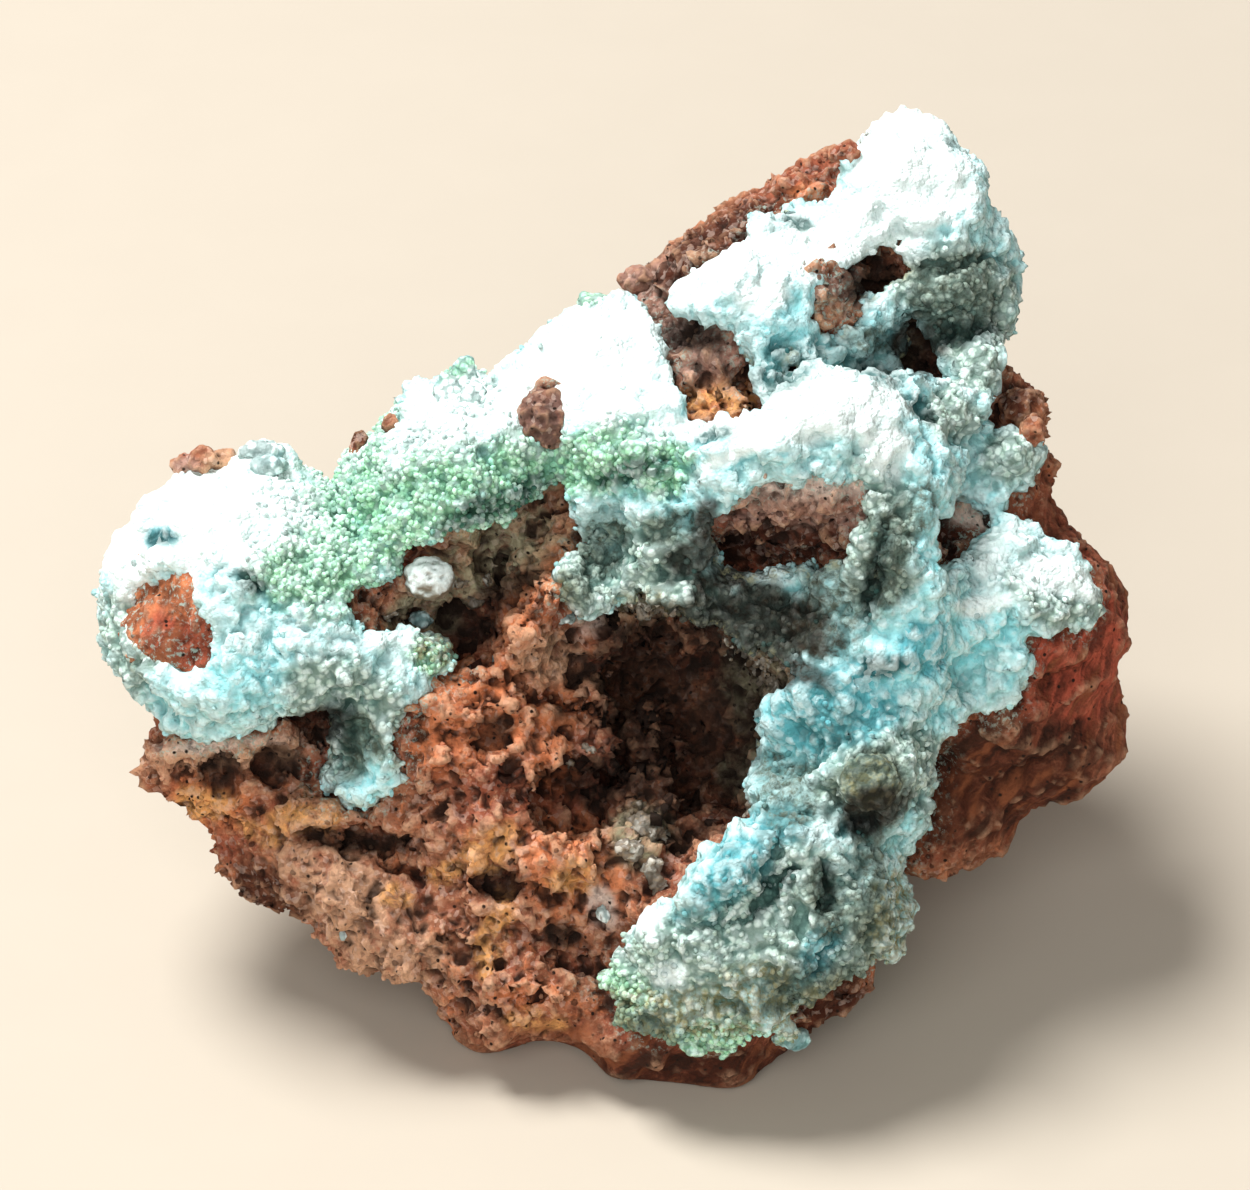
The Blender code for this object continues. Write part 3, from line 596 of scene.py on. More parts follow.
def zone_weights(places, zones, uneven, softness=0.3):
    """How far each place is inside the ellipses, from 0 to 1, with an uneven edge."""
    best = np.zeros(len(places))
    for across, up, half_across, half_up, turn in zones:
        angle = math.radians(turn)
        right = places[:, 0] - across
        above = places[:, 1] - up
        along = (right * math.cos(angle) + above * math.sin(angle)) / half_across
        over = (above * math.cos(angle) - right * math.sin(angle)) / half_up
        distance = np.hypot(along, over) + uneven * 0.45
        best = np.maximum(best, 1 - ramp(distance, 1 - softness, 1 + softness))
    return best


def paint_zones(mesh, table, seed=0.0):
    places = face_places(mesh)
    uneven = wobble(places, 2.2, seed) + 0.5 * wobble(places, 0.8, seed + 5)
    facing = ramp(places[:, 2], *FRONT_FADE)
    for name, zones in table.items():
        set_attributes(mesh, **{name: zone_weights(places, zones, uneven) * facing})


def surface_tree(*surfaces):
    """One search tree over all the surfaces."""
    places, faces = [], []
    for surface in surfaces:
        first = len(places)
        places.extend(vertex.co for vertex in surface.vertices)
        faces.extend(
            tuple(first + corner for corner in polygon.vertices) for polygon in surface.polygons
        )
    return BVHTree.FromPolygons(places, faces)


def covered_share(mesh, near, far):
    """1 where the crust is nearer than near (mm), 0 beyond far."""
    tree = surface_tree(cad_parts["copper_crust"].data)
    distance = np.array([tree.find_nearest(place)[3] for place in positions(mesh)])
    return 1 - ramp(distance / MM, near, far)


def behind_share(mesh):
    """1 at the back of the specimen, 0 on the display face."""
    return 1 - ramp(face_places(mesh)[:, 2], *BACK_FADE)


def mark_relief(piece, hollow_at=0.15, crest_at=0.14):
    """Attributes for the painted shade in the dents and the painted highlight on the bumps of the
    finished surface, and smooth shading.
    """
    depth = dents(piece.data, 6)
    set_attributes(
        piece.data, hollow=ramp(depth, hollow_at * 0.2, hollow_at),
        crest=ramp(-depth, crest_at * 0.3, crest_at),
    )
    select_only(piece)
    bpy.ops.object.shade_smooth()


def dress(piece, material):
    """Gives the piece its material and lets it ride on the one body."""
    piece.data.materials.clear()
    piece.data.materials.append(material)
    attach(piece, "root")


def length(name, description, millimetres, least=0.0):
    """A size that the user can change."""
    return bpy.props.FloatProperty(
        name=name, description=description, default=millimetres * MM, min=least * MM,
        unit="LENGTH", precision=5,
    )


def colour(name, description, *screen):
    """A colour that the user can change."""
    return bpy.props.FloatVectorProperty(
        name=name, description=description, default=linear(*screen),
        subtype="COLOR", min=0, max=1,
    )


class SpecimenSizes(bpy.types.PropertyGroup):
    rock_voxel: length("Rock detail", "Edge length of the rock's mesh", 0.26, 0.2)
    pore_size: length("Pore spacing", "Spacing of the rock's larger pores", 1.5)
    pore_depth: length("Pore depth", "Depth of the rock's larger pores", 0.95)
    crust_voxel: length("Crust detail", "Edge length of the crust's mesh", 0.23, 0.15)
    grape_size: length("Grape size", "Spacing of the crust's rounded swellings", 0.7)
    grape_height: length("Grape height", "Height of the crust's rounded swellings", 0.3)
    grain_size: length("Grain size", "Radius of the grains that coat the crust", 0.25)
    crumb_size: length("Crumb size", "Radius of the crumbs on the rock", 0.24)


class SpecimenColours(bpy.types.PropertyGroup):
    sky: colour("Sky blue", "The crust's main colour", 0.76, 0.92, 0.92)
    # Turquoise is also multiplied into the valleys as painted shade.
    turquoise: colour("Turquoise", "The crust in its valleys", 0.64, 0.91, 0.93)
    # Teal is also the painted shade in the crust's gaps and dents.
    teal: colour("Teal", "The gaps between the crust's grains", 0.13, 0.34, 0.33)
    green: colour("Green", "The green shoulder of the crust", 0.68, 0.90, 0.73)
    # Chalk white is also the painted highlight on what faces the sky and on the bumps.
    chalk: colour("Chalk white", "The crust's bleached tops", 0.92, 0.97, 0.96)
    grey_green: colour("Grey green", "The crust on the shaded walls", 0.71, 0.80, 0.75)
    olive: colour("Olive", "The stained lower edge of the crust", 0.62, 0.60, 0.44)
    cyan: colour("Cyan", "The deeper blue patches of the crust", 0.33, 0.66, 0.70)
    # This dusky green is partly painted shade under ledges.
    dusk: colour("Dusky green", "The dark grey-green knobs of the crust", 0.36, 0.39, 0.33)
    # This brown is the painted shade on the crust's overhanging rims.
    stain: colour("Brown stain", "The crust's stained rim over the larger vug", 0.18, 0.145, 0.10)
    rust: colour("Rust brown", "The rock's main colour", 0.70, 0.45, 0.33)
    orange: colour("Orange rust", "The rock's brighter spots", 0.91, 0.55, 0.36)
    red: colour("Red rust", "The rock's reddish lobes", 0.66, 0.36, 0.26)
    ochre: colour("Ochre", "The rock's yellow patches", 1.0, 0.73, 0.45)
    # Tan is also the painted highlight on the rock's ridges and bumps.
    tan: colour("Tan", "The rock's smoother pale lobe", 0.88, 0.69, 0.55)
    mauve: colour("Mauve brown", "The rock in the crust's breaks", 0.72, 0.57, 0.51)
    ash: colour("Ash pink", "The rock's pale lips", 0.93, 0.83, 0.77)
    # Maroon is also painted shade on the rock's undersides.
    maroon: colour("Maroon", "The rock's dark red underside", 0.32, 0.16, 0.10)
    crimson: colour("Crimson", "The rock's dark red lobe on the right", 0.78, 0.36, 0.27)
    plum: colour("Plum brown", "The dark lump on the crust's shoulder", 0.46, 0.36, 0.33)
    verdigris: colour("Verdigris", "Grey-green stain on the vugs' roofs", 0.76, 0.74, 0.60)
    # Umber is also the painted shade in the vugs, dents and pores.
    umber: colour("Umber", "The rock's vugs and pores", 0.145, 0.10, 0.072)
    floor: colour("Floor", "The plain pale floor", 0.73, 0.69, 0.63)


def sizes():
    return bpy.context.scene.specimen_sizes


def paint(tone):
    """A user's colour by its name, as a plain tuple; any other tone as it is."""
    if isinstance(tone, str):
        return tuple(getattr(bpy.context.scene.specimen_colours, tone))
    return tone


class NodeBench:
    """Adds and joins the nodes of one tree."""

    def __init__(self, tree):
        self.tree = tree

    def add(self, kind, inputs=(), **settings):
        """Adds a node with its settings and feeds its inputs."""
        node = self.tree.nodes.new(kind)
        for name, value in settings.items():
            setattr(node, name, value)
        self.join(node, inputs)
        return node

    def join(self, node, inputs):
        """Joins outputs to the node's inputs, or sets their values."""
        for key, value in dict(inputs).items():
            socket = node.inputs[key]
            if isinstance(value, bpy.types.NodeSocket):
                self.tree.links.new(value, socket)
            else:
                socket.default_value = (*value, 1) if socket.type == "RGBA" else value


class MaterialBench(NodeBench):
    """The nodes of one material; base holds its colour so far."""

    def __init__(self, name):
        self.material = bpy.data.materials.new(name)
        self.material.use_nodes = True
        super().__init__(self.material.node_tree)
        self.coordinates = self.add("ShaderNodeTexCoord").outputs["Object"]
        self.base = None

    def attribute(self, name):
        return self.add("ShaderNodeAttribute", attribute_name=name).outputs["Fac"]

    def noise(self, size_mm, detail=4.0, roughness=0.6, distortion=0.0, vector=None):
        return self.add("ShaderNodeTexNoise", {
            "Vector": vector or self.coordinates, "Scale": 1 / (size_mm * MM),
            "Detail": detail, "Roughness": roughness, "Distortion": distortion,
        }).outputs["Fac"]

    def streaks(self, size_mm, stretch):
        """Noise drawn out along the slope of the right-hand lobe."""
        turned = self.add("ShaderNodeMapping", {
            "Vector": self.coordinates, "Rotation": STREAK_TURN, "Scale": (1, stretch, stretch),
        }, vector_type="TEXTURE")
        return self.noise(size_mm, 5, 0.5, vector=turned.outputs["Vector"])

    def cells(self, size_mm, output="Distance"):
        return self.add("ShaderNodeTexVoronoi", {
            "Vector": self.coordinates, "Scale": 1 / (size_mm * MM),
        }).outputs[output]

    def pebbles(self, size_mm):
        """Cells that stand out in the middle."""
        return self.maths("SUBTRACT", 1.0, self.cells(size_mm))

    def span(self, value, low, high, least=0.0, most=1.0):
        """Least where the value is low, most where it is high, smooth between them."""
        return self.add("ShaderNodeMapRange", {
            "Value": value, "From Min": low, "From Max": high, "To Min": least, "To Max": most,
        }, interpolation_type="SMOOTHSTEP").outputs["Result"]

    def maths(self, operation, first, second):
        return self.add("ShaderNodeMath", {0: first, 1: second}, operation=operation).outputs[0]

    def times(self, first, second):
        return self.maths("MULTIPLY", first, second)

    def part(self, name, share):
        """So much of an attribute."""
        return self.times(self.attribute(name), share)

    def within(self, name, value, *ends):
        """An attribute, broken up by the span of a noise."""
        return self.part(name, self.span(value, *ends))

    def blend(self, share, first, second, kind="MIX"):
        return self.add(
            "ShaderNodeMix", {0: share, 6: first, 7: second}, data_type="RGBA", blend_type=kind
        ).outputs[2]

    def darker(self, depth, tone):
        """The base with so much of the tone multiplied in."""
        return self.blend(depth, self.base, paint(tone), "MULTIPLY")

    def coat(self, share, tone, depth=0):
        """Lays a tone over the base, or with a depth the base darkened by the tone."""
        tone = self.darker(depth, tone) if depth else paint(tone)
        self.base = self.blend(share, self.base, tone)

    def finish(self, roughness, specular, *bumps):
        """Joins the colour, the roughness and the bumps: height, depth in mm, strength."""
        normal = {}
        for height, depth_mm, strength in bumps:
            bump = self.add("ShaderNodeBump", {
                "Height": height, "Distance": depth_mm * MM, "Strength": strength, **normal,
            })
            normal = {"Normal": bump.outputs["Normal"]}
        self.join(self.tree.nodes["Principled BSDF"], {
            "Base Color": self.base, "Roughness": roughness,
            "Specular IOR Level": specular, **normal,
        })
        return self.material


def crust_material(name, grains=False):
    """The copper crust; on loose grains the tone varies from grain to grain."""
    bench = MaterialBench(name)
    fine = bench.noise(0.7, 5, 0.7)
    mottle = bench.span(bench.noise(3.2, 6, 0.62), 0.42, 0.66)
    bench.base = bench.blend(mottle, paint("sky"), paint("turquoise"))
    for zone, low, high, least, most, tone, depth in CRUST_COATS:
        bench.coat(bench.within(zone, fine, low, high, least, most), tone, depth)
    # The chalk speckles and highlights are weaker where the dusky and brown coats paint shade.
    dim = bench.maths("MAXIMUM", bench.attribute("dusk"), bench.attribute("stained"))
    lit = bench.maths("SUBTRACT", 1.0, bench.times(dim, 0.9))
    speckle = bench.cells(0.5, "Color")
    bench.coat(bench.times(bench.span(speckle, 0.62, 0.9, 0, 0.35), lit), "chalk")
    bench.coat(bench.span(speckle, 0.42, 0.15, 0, 0.6), "grey_green", 0.5)
    if grains:
        tone = bench.attribute("tint")
        bench.coat(bench.times(bench.span(tone, 0.5, 1, 0, 0.3), lit), "chalk")
        bench.coat(bench.span(tone, 0.4, 0, 0, 0.45), "teal")
        # Painted shade in the dents.
        bench.coat(bench.part("hollow", 0.45), "teal", 0.7)
    else:
        # Painted highlight on the bumps, and painted shade in the gaps between the grains and in
        # the dents.
        bench.coat(bench.times(bench.part("crest", 0.4), lit), "chalk")
        shade = bench.darker(0.75, "teal")
        bench.coat(bench.within("gappy", bench.cells(0.62), 0.34, 0.6, 0, 0.75), shade)
        bench.coat(bench.within("hollow", bench.attribute("gappy"), 0, 1, 0.3, 0.85), shade)
        bench.coat(bench.within("edge", fine, 0.45, 0.6, 0, 0.8), "olive")
    return bench.finish(
        bench.span(fine, 0.3, 0.7, 0.75, 0.95), MATTE,
        (bench.pebbles(0.62), 0.3, 0.6),
        (bench.pebbles(0.27), 0.12, 0.7),
        (bench.noise(0.14, 3, 0.6), 0.05, 0.7),
    )


def rock_material(name, crumbs=False):
    """The rusty rock; on loose crumbs the tone varies from crumb to crumb."""
    bench = MaterialBench(name)
    patch = bench.noise(1.8, 7, 0.68, 0.6)
    fine = bench.noise(0.42, 6, 0.72)
    broad = bench.span(bench.noise(6.5, 6, 0.62, 0.4), 0.42, 0.60)
    bench.base = bench.blend(broad, paint("rust"), paint("red"))
    bench.coat(bench.span(patch, 0.52, 0.66, 0, 0.8), "orange")
    bench.coat(bench.span(fine, 0.50, 0.68, 0, 0.7), "tan")
    for zone, least, most in ROCK_COATS:
        bench.coat(bench.within(zone, patch, 0.36, 0.54, least, most), zone)
    grit = bench.cells(0.36, "Color")
    pale = bench.maths(
        "SUBTRACT", bench.span(grit, 0.6, 0.9, 0, 0.35), bench.attribute("streaked")
    )
    bench.coat(bench.maths("MAXIMUM", pale, 0.0), "ash")
    bench.coat(bench.span(grit, 0.4, 0.15, 0, 0.4), "maroon")
    bands = bench.streaks(1.1, 5)
    for low, high, tone in ((0.52, 0.64, "orange"), (0.49, 0.38, "umber"), (0.46, 0.56, "maroon")):
        bench.coat(bench.within("streaked", bands, low, high, 0, 0.6), tone)
    yellowed = bench.blend(bench.span(patch, 0.4, 0.6), paint("ochre"), paint("tan"))
    bench.coat(bench.within("behind", bench.noise(8), 0.54, 0.66, 0, 0.7), yellowed)
    # Painted highlight on the broad ridges, and painted shade in the broad cavities.
    bench.coat(bench.within("ridge", fine, 0.35, 0.6, 0.1, 0.6), "tan")
    bench.coat(bench.part("cavity", 0.85), linear(0.50, 0.38, 0.33), 1.0)
    if crumbs:
        tone = bench.attribute("tint")
        bench.coat(bench.span(tone, 0.6, 1, 0, 0.5), "tan")
        bench.coat(bench.span(tone, 0.4, 0, 0, 0.7), "umber")
    else:
        # Painted highlight on the bumps, and painted shade in the dents and pores.
        bench.coat(bench.part("crest", 0.4), "tan")
        sunk = bench.maths("MAXIMUM", bench.part("hollow", 0.85), bench.attribute("pore"))
        bench.coat(sunk, "umber")
    bench.coat(bench.span(fine, 0.42, 0.28, 0, 0.6), "umber")
    bench.coat(bench.within("dusted", fine, 0.52, 0.6, 0, 0.75), "grey_green")
    # Painted shade in the vugs and crevices.
    bench.coat(bench.within("dark", patch, 0.3, 0.65, 0.96, 0.72), "umber")
    speck = bench.times(bench.span(bench.cells(0.8), 0.22, 0.12), bench.span(patch, 0.4, 0.55))
    bench.coat(speck, "umber")
    return bench.finish(
        bench.span(fine, 0.3, 0.7, 0.75, 0.97), MATTE,
        (patch, 0.6, 0.8),
        (bench.pebbles(0.4), 0.2, 0.7),
        (fine, 0.26, 1.0),
    )


def druse_material(name):
    """Small pale crystals in the vugs, each of its own tone."""
    bench = MaterialBench(name)
    fine = bench.noise(0.5)
    shade = bench.span(bench.attribute("tint"), 0, 0.8)
    bench.base = bench.blend(shade, linear(0.30, 0.27, 0.22), linear(0.74, 0.72, 0.67))
    bench.coat(bench.span(bench.cells(0.4, "Color"), 0.3, 0.7), linear(0.45, 0.41, 0.36))
    bench.coat(bench.span(fine, 0.5, 0.68, 0, 0.6), linear(0.55, 0.46, 0.34))
    return bench.finish(0.5, DULL, (fine, 0.06, 0.6))


def nodule_material():
    bench = MaterialBench("nodule_pale")
    mottle = bench.span(bench.noise(1.1, 5, 0.65), 0.45, 0.75)
    bench.base = bench.blend(mottle, paint("chalk"), linear(0.66, 0.66, 0.62))
    # Painted shade in the dents and on the underside.
    bench.coat(bench.attribute("hollow"), linear(0.42, 0.45, 0.42))
    bench.coat(bench.attribute("shaded"), linear(0.50, 0.45, 0.38))
    return bench.finish(0.55, DULL, (bench.cells(0.4), 0.12, 0.7))


def floor_material():
    bench = MaterialBench("floor_pale")
    grain = bench.span(bench.noise(9, 3, 0.5), 0.3, 0.8, 0, 0.06)
    bench.base = bench.blend(grain, paint("floor"), linear(0.8, 0.76, 0.7))
    return bench.finish(0.85, DULL)


class GrainBench(NodeBench):
    """A Geometry Nodes tree that strews small closed grains over a surface."""

    def __init__(self, name):
        super().__init__(bpy.data.node_groups.new(name, "GeometryNodeTree"))
        for way in ("INPUT", "OUTPUT"):
            self.tree.interface.new_socket(
                "Geometry", in_out=way, socket_type="NodeSocketGeometry"
            )

    def random(self, low, high, seed):
        """A random vector for every grain."""
        return self.add("FunctionNodeRandomValue", {
            "Min": (low, low, low), "Max": (high, high, high), "Seed": seed,
        }, data_type="FLOAT_VECTOR").outputs["Value"]

    def build(self, weight, spacing, radius, facets, low, high, seed):
        entry = self.add("NodeGroupInput")
        share = self.add("GeometryNodeInputNamedAttribute", {"Name": weight}, data_type="FLOAT")
        points = self.add("GeometryNodeDistributePointsOnFaces", {
            "Mesh": entry.outputs[0], "Distance Min": spacing,
            "Density Max": CROWDING / spacing ** 2,
            "Density Factor": share.outputs["Attribute"], "Seed": seed,
        }, distribute_method="POISSON")
        if facets:
            grain = self.add("GeometryNodeMeshIcoSphere", {"Radius": radius, "Subdivisions": 1})
        else:
            grain = self.add(
                "GeometryNodeMeshUVSphere", {"Radius": radius, "Segments": 6, "Rings": 4}
            )
        placed = self.add("GeometryNodeInstanceOnPoints", {
            "Points": points.outputs["Points"], "Instance": grain.outputs["Mesh"],
            "Rotation": self.random(0, math.tau, seed + 1),
            "Scale": self.random(low, high, seed + 2),
        })
        tint = self.add("FunctionNodeRandomValue", {"Seed": seed + 3}, data_type="FLOAT")
        toned = self.add("GeometryNodeStoreNamedAttribute", {
            "Geometry": placed.outputs["Instances"], "Name": "tint", "Value": tint.outputs[1],
        }, data_type="FLOAT", domain="INSTANCE")
        real = self.add("GeometryNodeRealizeInstances", {"Geometry": toned.outputs["Geometry"]})
        shaded = self.add("GeometryNodeSetShadeSmooth", {
            "Geometry": real.outputs["Geometry"], "Shade Smooth": not facets,
        })
        self.add("NodeGroupOutput", {"Geometry": shaded.outputs["Geometry"]})
        return self.tree


def strew(name, host, weight, spacing, radius, seed, facets=True, low=0.6, high=1.3):
    """Grains over the host's surface, thickest where the weight is 1."""
    grains = bpy.data.objects.new(name, host.data.copy())
    bpy.context.scene.collection.objects.link(grains)
    tree = GrainBench(name).build(weight, spacing, radius, facets, low, high, seed)
    finish_modifier(grains, "NODES", node_group=tree)
    return grains


class SPECIMEN_OT_rock(bpy.types.Operator):
    """Builds the rusty, porous rock"""

    bl_idname = "specimen.rock"
    bl_label = "Rusty rock"

    def execute(self, context):
        rock = node_copy("gossan_matrix", "rusty_rock")
        remesh(rock, 0.6 * MM)
        smooth(rock, 3)
        relief(rock, "VORONOI", 5 * MM, 1.1 * MM, middle=0.35, weight_1=-1, weight_2=1)
        depth = face_places(rock.data)[:, 2]
        crags(rock, 3.8 * MM, 2.6 * MM, set_group(rock, "front", 0.65 + 0.35 * ramp(depth, -4, 2)))
        remesh(rock, 0.4 * MM)
        sculpt(rock, ROCK_RAISED, 1)
        sculpt(rock, ROCK_SUNK, -1)
        remesh(rock, sizes().rock_voxel)
        self.roughen(rock)
        mesh = rock.data
        start, broad, close = positions(mesh), dents(mesh, 60), dents(mesh, 7)
        faces = sum(len(polygon.vertices) - 2 for polygon in mesh.polygons)
        spare = np.maximum(0.2 + 0.25 * behind_share(mesh), self.under_crust(mesh))
        thin(rock, min(1, MOST_TRIANGLES / faces), spare)
        self.mark(mesh, carried(start, broad, mesh), carried(start, close, mesh))
        bpy.ops.object.shade_smooth()
        dress(rock, rock_material("gossan_rust"))
        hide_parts("gossan_matrix")
        return {"FINISHED"}

    def roughen(self, rock):
        """Irregular pores on the spongy faces, ridges and cracks on the others."""
        places = face_places(rock.data)
        uneven = wobble(places, 2.4, 1)
        patchy = ramp(wobble(places, 3.4, 2), 0.05, 0.4)
        porous = np.maximum(zone_weights(places, ROCK_ZONES["spongy"], uneven), 0.6 * patchy)
        rough = 1 - 0.55 * zone_weights(places, ROCK_STREAKED, uneven, 0.5)
        porous *= 1 - 0.8 * zone_weights(places, ROCK_ZONES["tan"], uneven)
        spongy = set_group(rock, "spongy", porous * rough)
        solid = set_group(rock, "solid", (1 - porous) * rough)
        lively = set_group(rock, "lively", rough)
        pitted = set_group(rock, "pitted", self.pores(places))
        warped_cells(rock, 1.1 * sizes().pore_size, 0.7 * MM, spongy, 0.5, 0.9)
        relief(
            rock, "MUSGRAVE", 2.2 * MM, 0.5 * MM, lively,
            musgrave_type="RIDGED_MULTIFRACTAL", octaves=4, dimension_max=0.7,
        )
        clouds(rock, 2.4 * MM, 1.1 * MM, solid, 0.3, 3, noise_basis="VORONOI_F2_F1")
        crags(rock, 1 * MM, 0.7 * MM, lively)
        displace(rock, -sizes().pore_depth, pitted)

    def mark(self, mesh, broad, close):
        """Attributes for the rock's tones, and for the painted shade in its broad and close dents
        and the painted highlight on its ridges and bumps.
        """
        paint_zones(mesh, ROCK_ZONES, ROCK_SEED)
        places = face_places(mesh)
        streaked = zone_weights(places, ROCK_STREAKED, 0)
        crumbly = ramp(wobble(places, 3.1, 11), 0, 0.35) * (1 - self.under_crust(mesh))
        crumbly *= 0.4 + 0.6 * ramp(places[:, 2], -16, -8)
        druse = zone_weights(places, DRUSE_PATCHES, wobble(places, 1.2, 17))
        set_attributes(
            mesh,
            behind=behind_share(mesh),
            cavity=ramp(broad, 0.1, 0.9),
            ridge=ramp(-broad, 0.2, 0.9),
            hollow=ramp(close, 0.06, 0.3),
            crest=ramp(-close, 0.1, 0.3),
            dusted=covered_share(mesh, 1.2, 3),
            streaked=streaked,
            pore=self.pores(places),
            crumbly=crumbly * (1 - streaked),
            druse=druse * ramp(places[:, 2], -9, -6),
        )

    def pores(self, places):
        """1 in the middle of scattered round pores, 0 between them."""
        spacing = sizes().pore_size / MM
        weights = np.zeros(len(places))
        for row, place in enumerate(places):
            if place[2] > PORES_FROM:
                distances, seeds = noise.voronoi(Vector(place) / spacing)
                width = 0.5 + 0.5 * noise.cell(seeds[0] * 9)
                if width > LEAST_PORE:
                    weights[row] = 1 - distances[0] * spacing / (0.5 * width)
        spongy = zone_weights(places, ROCK_ZONES["spongy"], wobble(places, 2.4, 1), 0.5)
        return ramp(weights, 0, 0.6) * (0.25 + 0.75 * spongy)

    def under_crust(self, mesh):
        """1 where the crust hides the rock, 0 in its breaks and away from it."""
        breaks = [ellipse for *ellipse, height in ROCK_RAISED]
        return covered_share(mesh, 1.3, 1.9) * (1 - zone_weights(face_places(mesh), breaks, 0))


class SPECIMEN_OT_crumbs(bpy.types.Operator):
    """Strews rusty crumbs over the rock and pale crystals in its vugs"""

    bl_idname = "specimen.crumbs"
    bl_label = "Crumbs and druse"

    def execute(self, context):
        rock = bpy.data.objects["rusty_rock"]
        radius = sizes().crumb_size
        crumbs = strew("rock_crumbs", rock, "crumbly", 2.6 * radius, radius, 5)
        dress(crumbs, rock_material("crumb_rust", crumbs=True))
        druse = strew("vug_druse", rock, "druse", 0.5 * MM, 0.3 * MM, 21, low=0.4, high=1.7)
        dress(druse, druse_material("druse_pale"))
        return {"FINISHED"}


class SPECIMEN_OT_crust(bpy.types.Operator):
    """Builds the crust of copper mineral"""

    bl_idname = "specimen.crust"
    bl_label = "Copper crust"

    def execute(self, context):
        crust = node_copy("copper_crust", "copper_crust_skin")
        displace(crust, 0.9 * MM, set_group(crust, "inner", self.rock_side(crust.data)))
        remesh(crust, 0.4 * MM)
        smooth(crust, 2)
        sculpt(crust, CRUST_RAISED, 1)
        sculpt(crust, CRUST_SUNK, -1)
        edge = set_group(crust, "edge", self.edge_share(crust.data, 5))
        clouds(crust, 1.2 * MM, 1.6 * MM, edge, 0.55)
        clouds(crust, 2.4 * MM, 1.5 * MM)
        domes(crust, 2.3 * MM, 0.6 * MM)
        remesh(crust, sizes().crust_voxel)
        self.crumble(crust)
        mesh = crust.data
        spare = np.maximum(self.rock_side(mesh), 0.12 + 0.4 * behind_share(mesh))
        thin(crust, CRUST_KEPT, spare)
        paint_zones(mesh, CRUST_ZONES)
        # Painted shade in the broad valleys.
        set_attributes(mesh, valley=ramp(dents(mesh, 40), 0.02, 0.3))
        self.bleach(mesh)
        mark_relief(crust)
        self.mark(mesh)
        dress(crust, crust_material("crust_blue"))
        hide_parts("copper_crust")
        return {"FINISHED"}

    def crumble(self, crust):
        """Crumbs of several sizes, lower on the white tops, which are partly bleached crust and
        partly painted highlight.
        """
        places = face_places(crust.data)
        uneven = wobble(places, 2.2)
        white = zone_weights(places, CRUST_ZONES["bleached"], uneven, 0.5)
        blue = zone_weights(places, CRUST_ZONES["blue"], uneven, 0.5)
        patchy = ramp(wobble(places, 2.6, 23), -0.3, 0.3)
        calm = (1 - 0.65 * white) * (1 - 0.3 * blue)
        lively = set_group(crust, "lively", calm * (0.55 + 0.45 * patchy))
        warped_cells(crust, 1.2 * MM, -0.6 * MM, lively, 0.4, 0.8)
        domes(crust, sizes().grape_size, sizes().grape_height, lively)
        crags(crust, 0.6 * MM, 0.3 * MM, lively, depth=2)

    def bleach(self, mesh):
        """Adds a painted white highlight on what faces the sky to the bleached zones."""
        facing = spread(mesh, normals(mesh)[:, 2], 12)
        tinted = np.max([share * attribute(mesh, name) for name, share in WEAKER_SKY_HIGHLIGHT], axis=0)
        sunlit = ramp(facing, 0.45, 0.85) * (1 - 0.9 * tinted)
        set_attributes(mesh, bleached=np.maximum(attribute(mesh, "bleached"), 0.85 * sunlit))

    def mark(self, mesh):
        """Attributes for the rims, for the grains, and for the painted shade in the gaps between
        them.
        """
        edge = self.edge_share(mesh, 9)
        outside = 1 - ramp(self.rock_side(mesh), 0.1, 0.4)
        places = face_places(mesh)
        uneven = wobble(places, 2.2)
        patchy = ramp(wobble(places, 1.6, 31), -0.2, 0.3)
        green, grey, white, blue = (
            zone_weights(places, CRUST_ZONES[name], uneven)
            for name in ("green", "grey", "bleached", "blue")
        )
        gappy = 0.4 + green + 0.7 * grey - 0.8 * white - 0.3 * blue
        grainy = np.maximum(green, np.maximum(0.5 * grey, 0.06) * patchy)
        set_attributes(
            mesh, edge=edge, gappy=np.clip(gappy, 0.1, 1),
            grainy=grainy * outside, fringe=edge * outside,
        )

    def rock_side(self, mesh):
        """1 where the surface faces the rock close behind it, else 0."""
        places = positions(mesh)
        tree = surface_tree(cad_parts["gossan_matrix"].data)
        towards = np.array([tree.find_nearest(place)[0] for place in places]) - places
        towards /= np.maximum(np.linalg.norm(towards, axis=1), 1e-9)[:, None]
        return ramp((towards * normals(mesh)).sum(axis=1), 0.2, 0.6)

    def edge_share(self, mesh, rounds):
        """1 along the crust's broken rims, 0 away from them."""
        inner = self.rock_side(mesh)
        return ramp(spread(mesh, inner, rounds), 0.04, 0.3) * (1 - inner)


class SPECIMEN_OT_grains(bpy.types.Operator):
    """Coats the crust with rounded grains and its rims with crumbs"""

    bl_idname = "specimen.grains"
    bl_label = "Crust grains"

    def execute(self, context):
        crust = bpy.data.objects["copper_crust_skin"]
        radius = sizes().grain_size
        beads = strew("crust_beads", crust, "grainy", 1.6 * radius, radius, 41, False, 0.65, 1.2)
        dress(beads, crust_material("bead_blue", grains=True))
        rims = strew("crust_rims", crust, "fringe", 1.9 * radius, radius, 61, high=1.4)
        dress(rims, crust_material("rim_blue", grains=True))
        return {"FINISHED"}


